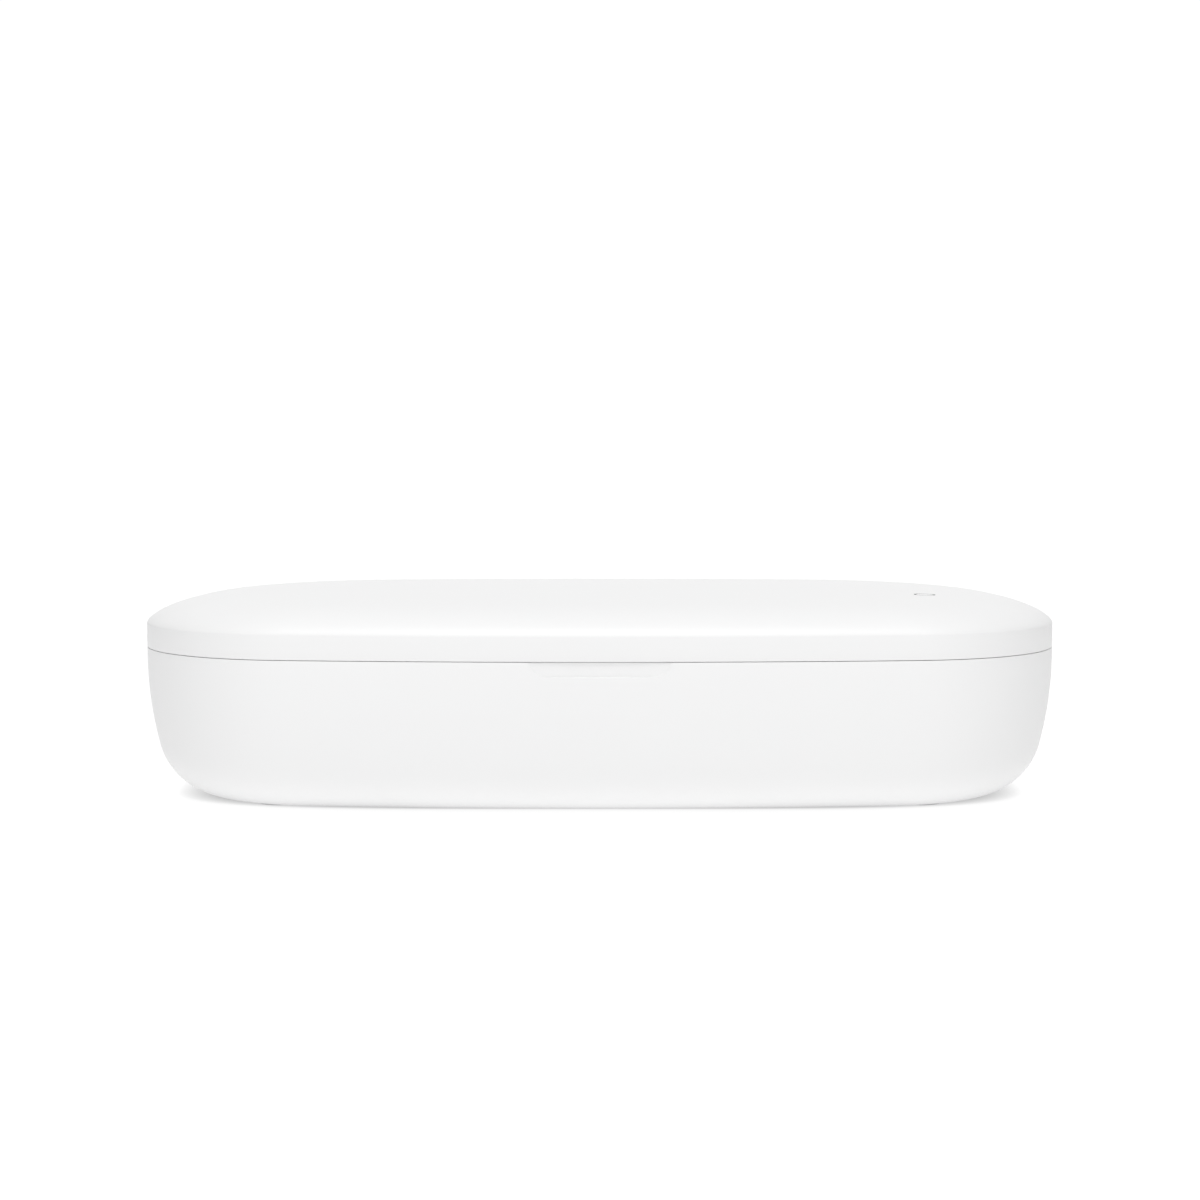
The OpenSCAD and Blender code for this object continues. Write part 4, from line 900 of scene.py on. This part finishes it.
screw_x, screw_y = LID_SCREWS[0]
screw = rod((screw_x, screw_y, LINER_Z + 0.913), HEAD_R, HEAD_H)
soften(screw, 0.7, 5, lambda x, y, z: z < LINER_Z + 0.11)
for cross_x, cross_y in ((1.32, 0.28), (0.28, 1.32)):
    combine(screw, block((screw_x - cross_x, screw_y - cross_y, LINER_Z - 0.3),
                         (screw_x + cross_x, screw_y + cross_y, LINER_Z + 0.9)))
combine(screw, post(screw_x, screw_y, SHANK_R, LINER_Z + 1.2, LINER_Z + 8, 32), "UNION")
moves = [(2 * LID_SCREW_X, 0), (0, 2 * LID_SCREW_Y), (2 * LID_SCREW_X, 2 * LID_SCREW_Y)]
lid_screws = copies(screw, moves, "lid_screws_turned")
smooth(lid_screws)
wear(lid_screws, zinc, "lid", "steel", "lid_screws")

dress(metal("nickel_plate", (0.8, 0.79, 0.77), (0.74, 0.73, 0.71), 0.15),
      "catch_magnets", "sensor_magnet")
dress(zinc, "button_screws")

# ---- Power button ----
# A small round cap, moulded in the same white ABS, with a flange under the crown that
# keeps it in the lid. Its face carries on the curve of the crown.

FLANGE_T = 0.75
flange_z, cap_top = button_low[2], button_high[2]
power_button = rod((BUTTON_X, BUTTON_Y, flange_z + FLANGE_T / 2), HOLE_R + 1, FLANGE_T, sides=96)
stem = rod((BUTTON_X, BUTTON_Y, (flange_z + 0.7 + cap_top - 0.8) / 2), BUTTON_R,
           cap_top - flange_z - 1.5, sides=96)
combine(power_button, stem, "UNION")
combine(power_button, button_face, "UNION")
soften(power_button, 0.04, 3, lambda x, y, z: z > cap_top - 0.2)
smooth(power_button)
power_button.name = "power_button_cap"
wear(power_button, shell_white, "button", "shell_white", "power_button")

# A black rubber sleeve lines the button's hole and keeps dust out. Its black is also painted shade,
# for the shadow in the gap round the button
soften(seal_and_shade_sleeve, 0.02, 2, lambda x, y, z: z > 48.5)
smooth(seal_and_shade_sleeve)
seal_and_shade_sleeve.name = "painted_shade_sleeve"
painted_shade_rubber = moulded("seal_painted_shade_black", (0.02, 0.02, 0.021), (0.015, 0.015, 0.016), 0.9,
                      0.2, 0.006, 3.0)
# The sleeve has no specular reflection, so it stays dark from every side, as painted shade
painted_shade_rubber.node_tree.nodes["Principled BSDF"].inputs["Specular IOR Level"].default_value = 0.0
wear(seal_and_shade_sleeve, painted_shade_rubber, "lid", "soft_white")

# ---- Floor, lights and camera ----
# A plain white floor that glows evenly, so that it runs into the white all round it. It is
# dimmer in a rounded patch under the case, for the light thrown up (first row below) and
# for the contact shadow as it is seen (second row). From below, the floor is clear.

bpy.ops.object.select_all(action="DESELECT")
bpy.ops.mesh.primitive_plane_add(size=12, location=(0, 0, 0))
floor = bpy.context.object
floor.name = "studio_floor"
paper = bpy.data.materials.new("white_floor")
paper.use_nodes = True
sheet = paper.node_tree.nodes["Principled BSDF"]
sheet.inputs["Base Color"].default_value = (0.2, 0.2, 0.2, 1)
sheet.inputs["Roughness"].default_value = 0.9
sheet.inputs["Specular IOR Level"].default_value = 0.0
sheet.inputs["Emission Color"].default_value = (1, 1, 1, 1)
ground = paper.node_tree.nodes
under = ground.new("ShaderNodeTexCoord")
reach = ground.new("ShaderNodeMapping")
PATCH_X, PATCH_Y = 0.097, 0.047
reach.inputs["Scale"].default_value = (1 / PATCH_X, 1 / PATCH_Y, 0)
squared = ground.new("ShaderNodeVectorMath")
squared.operation = "MULTIPLY"
fourth = ground.new("ShaderNodeVectorMath")
fourth.operation = "MULTIPLY"
shades = []
for weights, near, far, open_floor in (((1, 1, 0), 0.4, 1.7, 0.9),
                                       ((0.82, 1.43, 0), 0.7, 1.2, 0.87)):
    summed = ground.new("ShaderNodeVectorMath")
    summed.operation = "DOT_PRODUCT"
    summed.inputs[1].default_value = weights
    shade = ground.new("ShaderNodeMapRange")
    shade.inputs["From Min"].default_value = near
    shade.inputs["From Max"].default_value = far
    shade.inputs["To Min"].default_value = 0.25
    shade.inputs["To Max"].default_value = open_floor
    paper.node_tree.links.new(fourth.outputs["Vector"], summed.inputs[0])
    paper.node_tree.links.new(summed.outputs["Value"], shade.inputs["Value"])
    shades.append(shade)
looked_at = ground.new("ShaderNodeLightPath")
either = ground.new("ShaderNodeMix")
below = ground.new("ShaderNodeNewGeometry")
open_below = ground.new("ShaderNodeBsdfTransparent")
one_sided = ground.new("ShaderNodeMixShader")
link = paper.node_tree.links.new
link(under.outputs["Object"], reach.inputs["Vector"])
link(reach.outputs["Vector"], squared.inputs[0])
link(reach.outputs["Vector"], squared.inputs[1])
link(squared.outputs["Vector"], fourth.inputs[0])
link(squared.outputs["Vector"], fourth.inputs[1])
link(looked_at.outputs["Is Camera Ray"], either.inputs["Factor"])
link(shades[0].outputs["Result"], either.inputs["A"])
link(shades[1].outputs["Result"], either.inputs["B"])
link(either.outputs["Result"], sheet.inputs["Emission Strength"])
link(below.outputs["Backfacing"], one_sided.inputs["Fac"])
link(sheet.outputs["BSDF"], one_sided.inputs[1])
link(open_below.outputs["BSDF"], one_sided.inputs[2])
link(one_sided.outputs["Shader"], ground["Material Output"].inputs["Surface"])
floor.data.materials.append(paper)

world = bpy.data.worlds.new("studio")
bpy.context.scene.world = world
world.use_nodes = True
sky = world.node_tree
soft = sky.nodes["Background"]
soft.inputs["Color"].default_value = (1, 1, 1, 1)
around = sky.nodes.new("ShaderNodeTexCoord")
axes = sky.nodes.new("ShaderNodeSeparateXYZ")
aside = sky.nodes.new("ShaderNodeMath")
aside.operation = "ABSOLUTE"
dim = sky.nodes.new("ShaderNodeMapRange")
dim.inputs["From Min"].default_value = 0.2
dim.inputs["From Max"].default_value = 0.95
dim.inputs["To Min"].default_value = 0.99
dim.inputs["To Max"].default_value = 0.0
sky.links.new(around.outputs["Generated"], axes.inputs["Vector"])
sky.links.new(axes.outputs["X"], aside.inputs[0])
sky.links.new(aside.outputs["Value"], dim.inputs["Value"])
sky.links.new(dim.outputs["Result"], soft.inputs["Strength"])
clear = sky.nodes.new("ShaderNodeBackground")
clear.inputs["Color"].default_value = (1, 1, 1, 1)
clear.inputs["Strength"].default_value = 1.05
seen = sky.nodes.new("ShaderNodeLightPath")
mixed = sky.nodes.new("ShaderNodeMixShader")
sky.links.new(seen.outputs["Is Camera Ray"], mixed.inputs["Fac"])
sky.links.new(soft.outputs["Background"], mixed.inputs[1])
sky.links.new(clear.outputs["Background"], mixed.inputs[2])
sky.links.new(mixed.outputs["Shader"], sky.nodes["World Output"].inputs["Surface"])

SUN_HEIGHT = 66
bpy.ops.object.light_add(type="SUN", location=(0, -0.4, 0.8),
                         rotation=(radians(90 - SUN_HEIGHT), 0, 0))
key = bpy.context.object
key.name = "key_light"
key.data.energy = 1.25
key.data.angle = radians(35)

bpy.context.scene.view_settings.view_transform = "Standard"

# The photograph is 1200 pixels wide, taken from low down in front with a long lens
PHOTO_W, FOCAL_LENGTH, LOOKS_DOWN, SENSOR = 1200, 2259.23, 4.4416, 36
CAMERA_Y, CAMERA_Z = -0.580, 0.09197
bpy.ops.object.camera_add(location=(0, CAMERA_Y, CAMERA_Z),
                          rotation=(radians(90 - LOOKS_DOWN), 0, 0))
camera = bpy.context.object
camera.data.lens = FOCAL_LENGTH / PHOTO_W * SENSOR
camera.data.sensor_width = SENSOR
camera.data.sensor_fit = "HORIZONTAL"
camera.data.shift_x = 0.25 / PHOTO_W
camera.data.clip_start = 0.01
bpy.context.scene.camera = camera
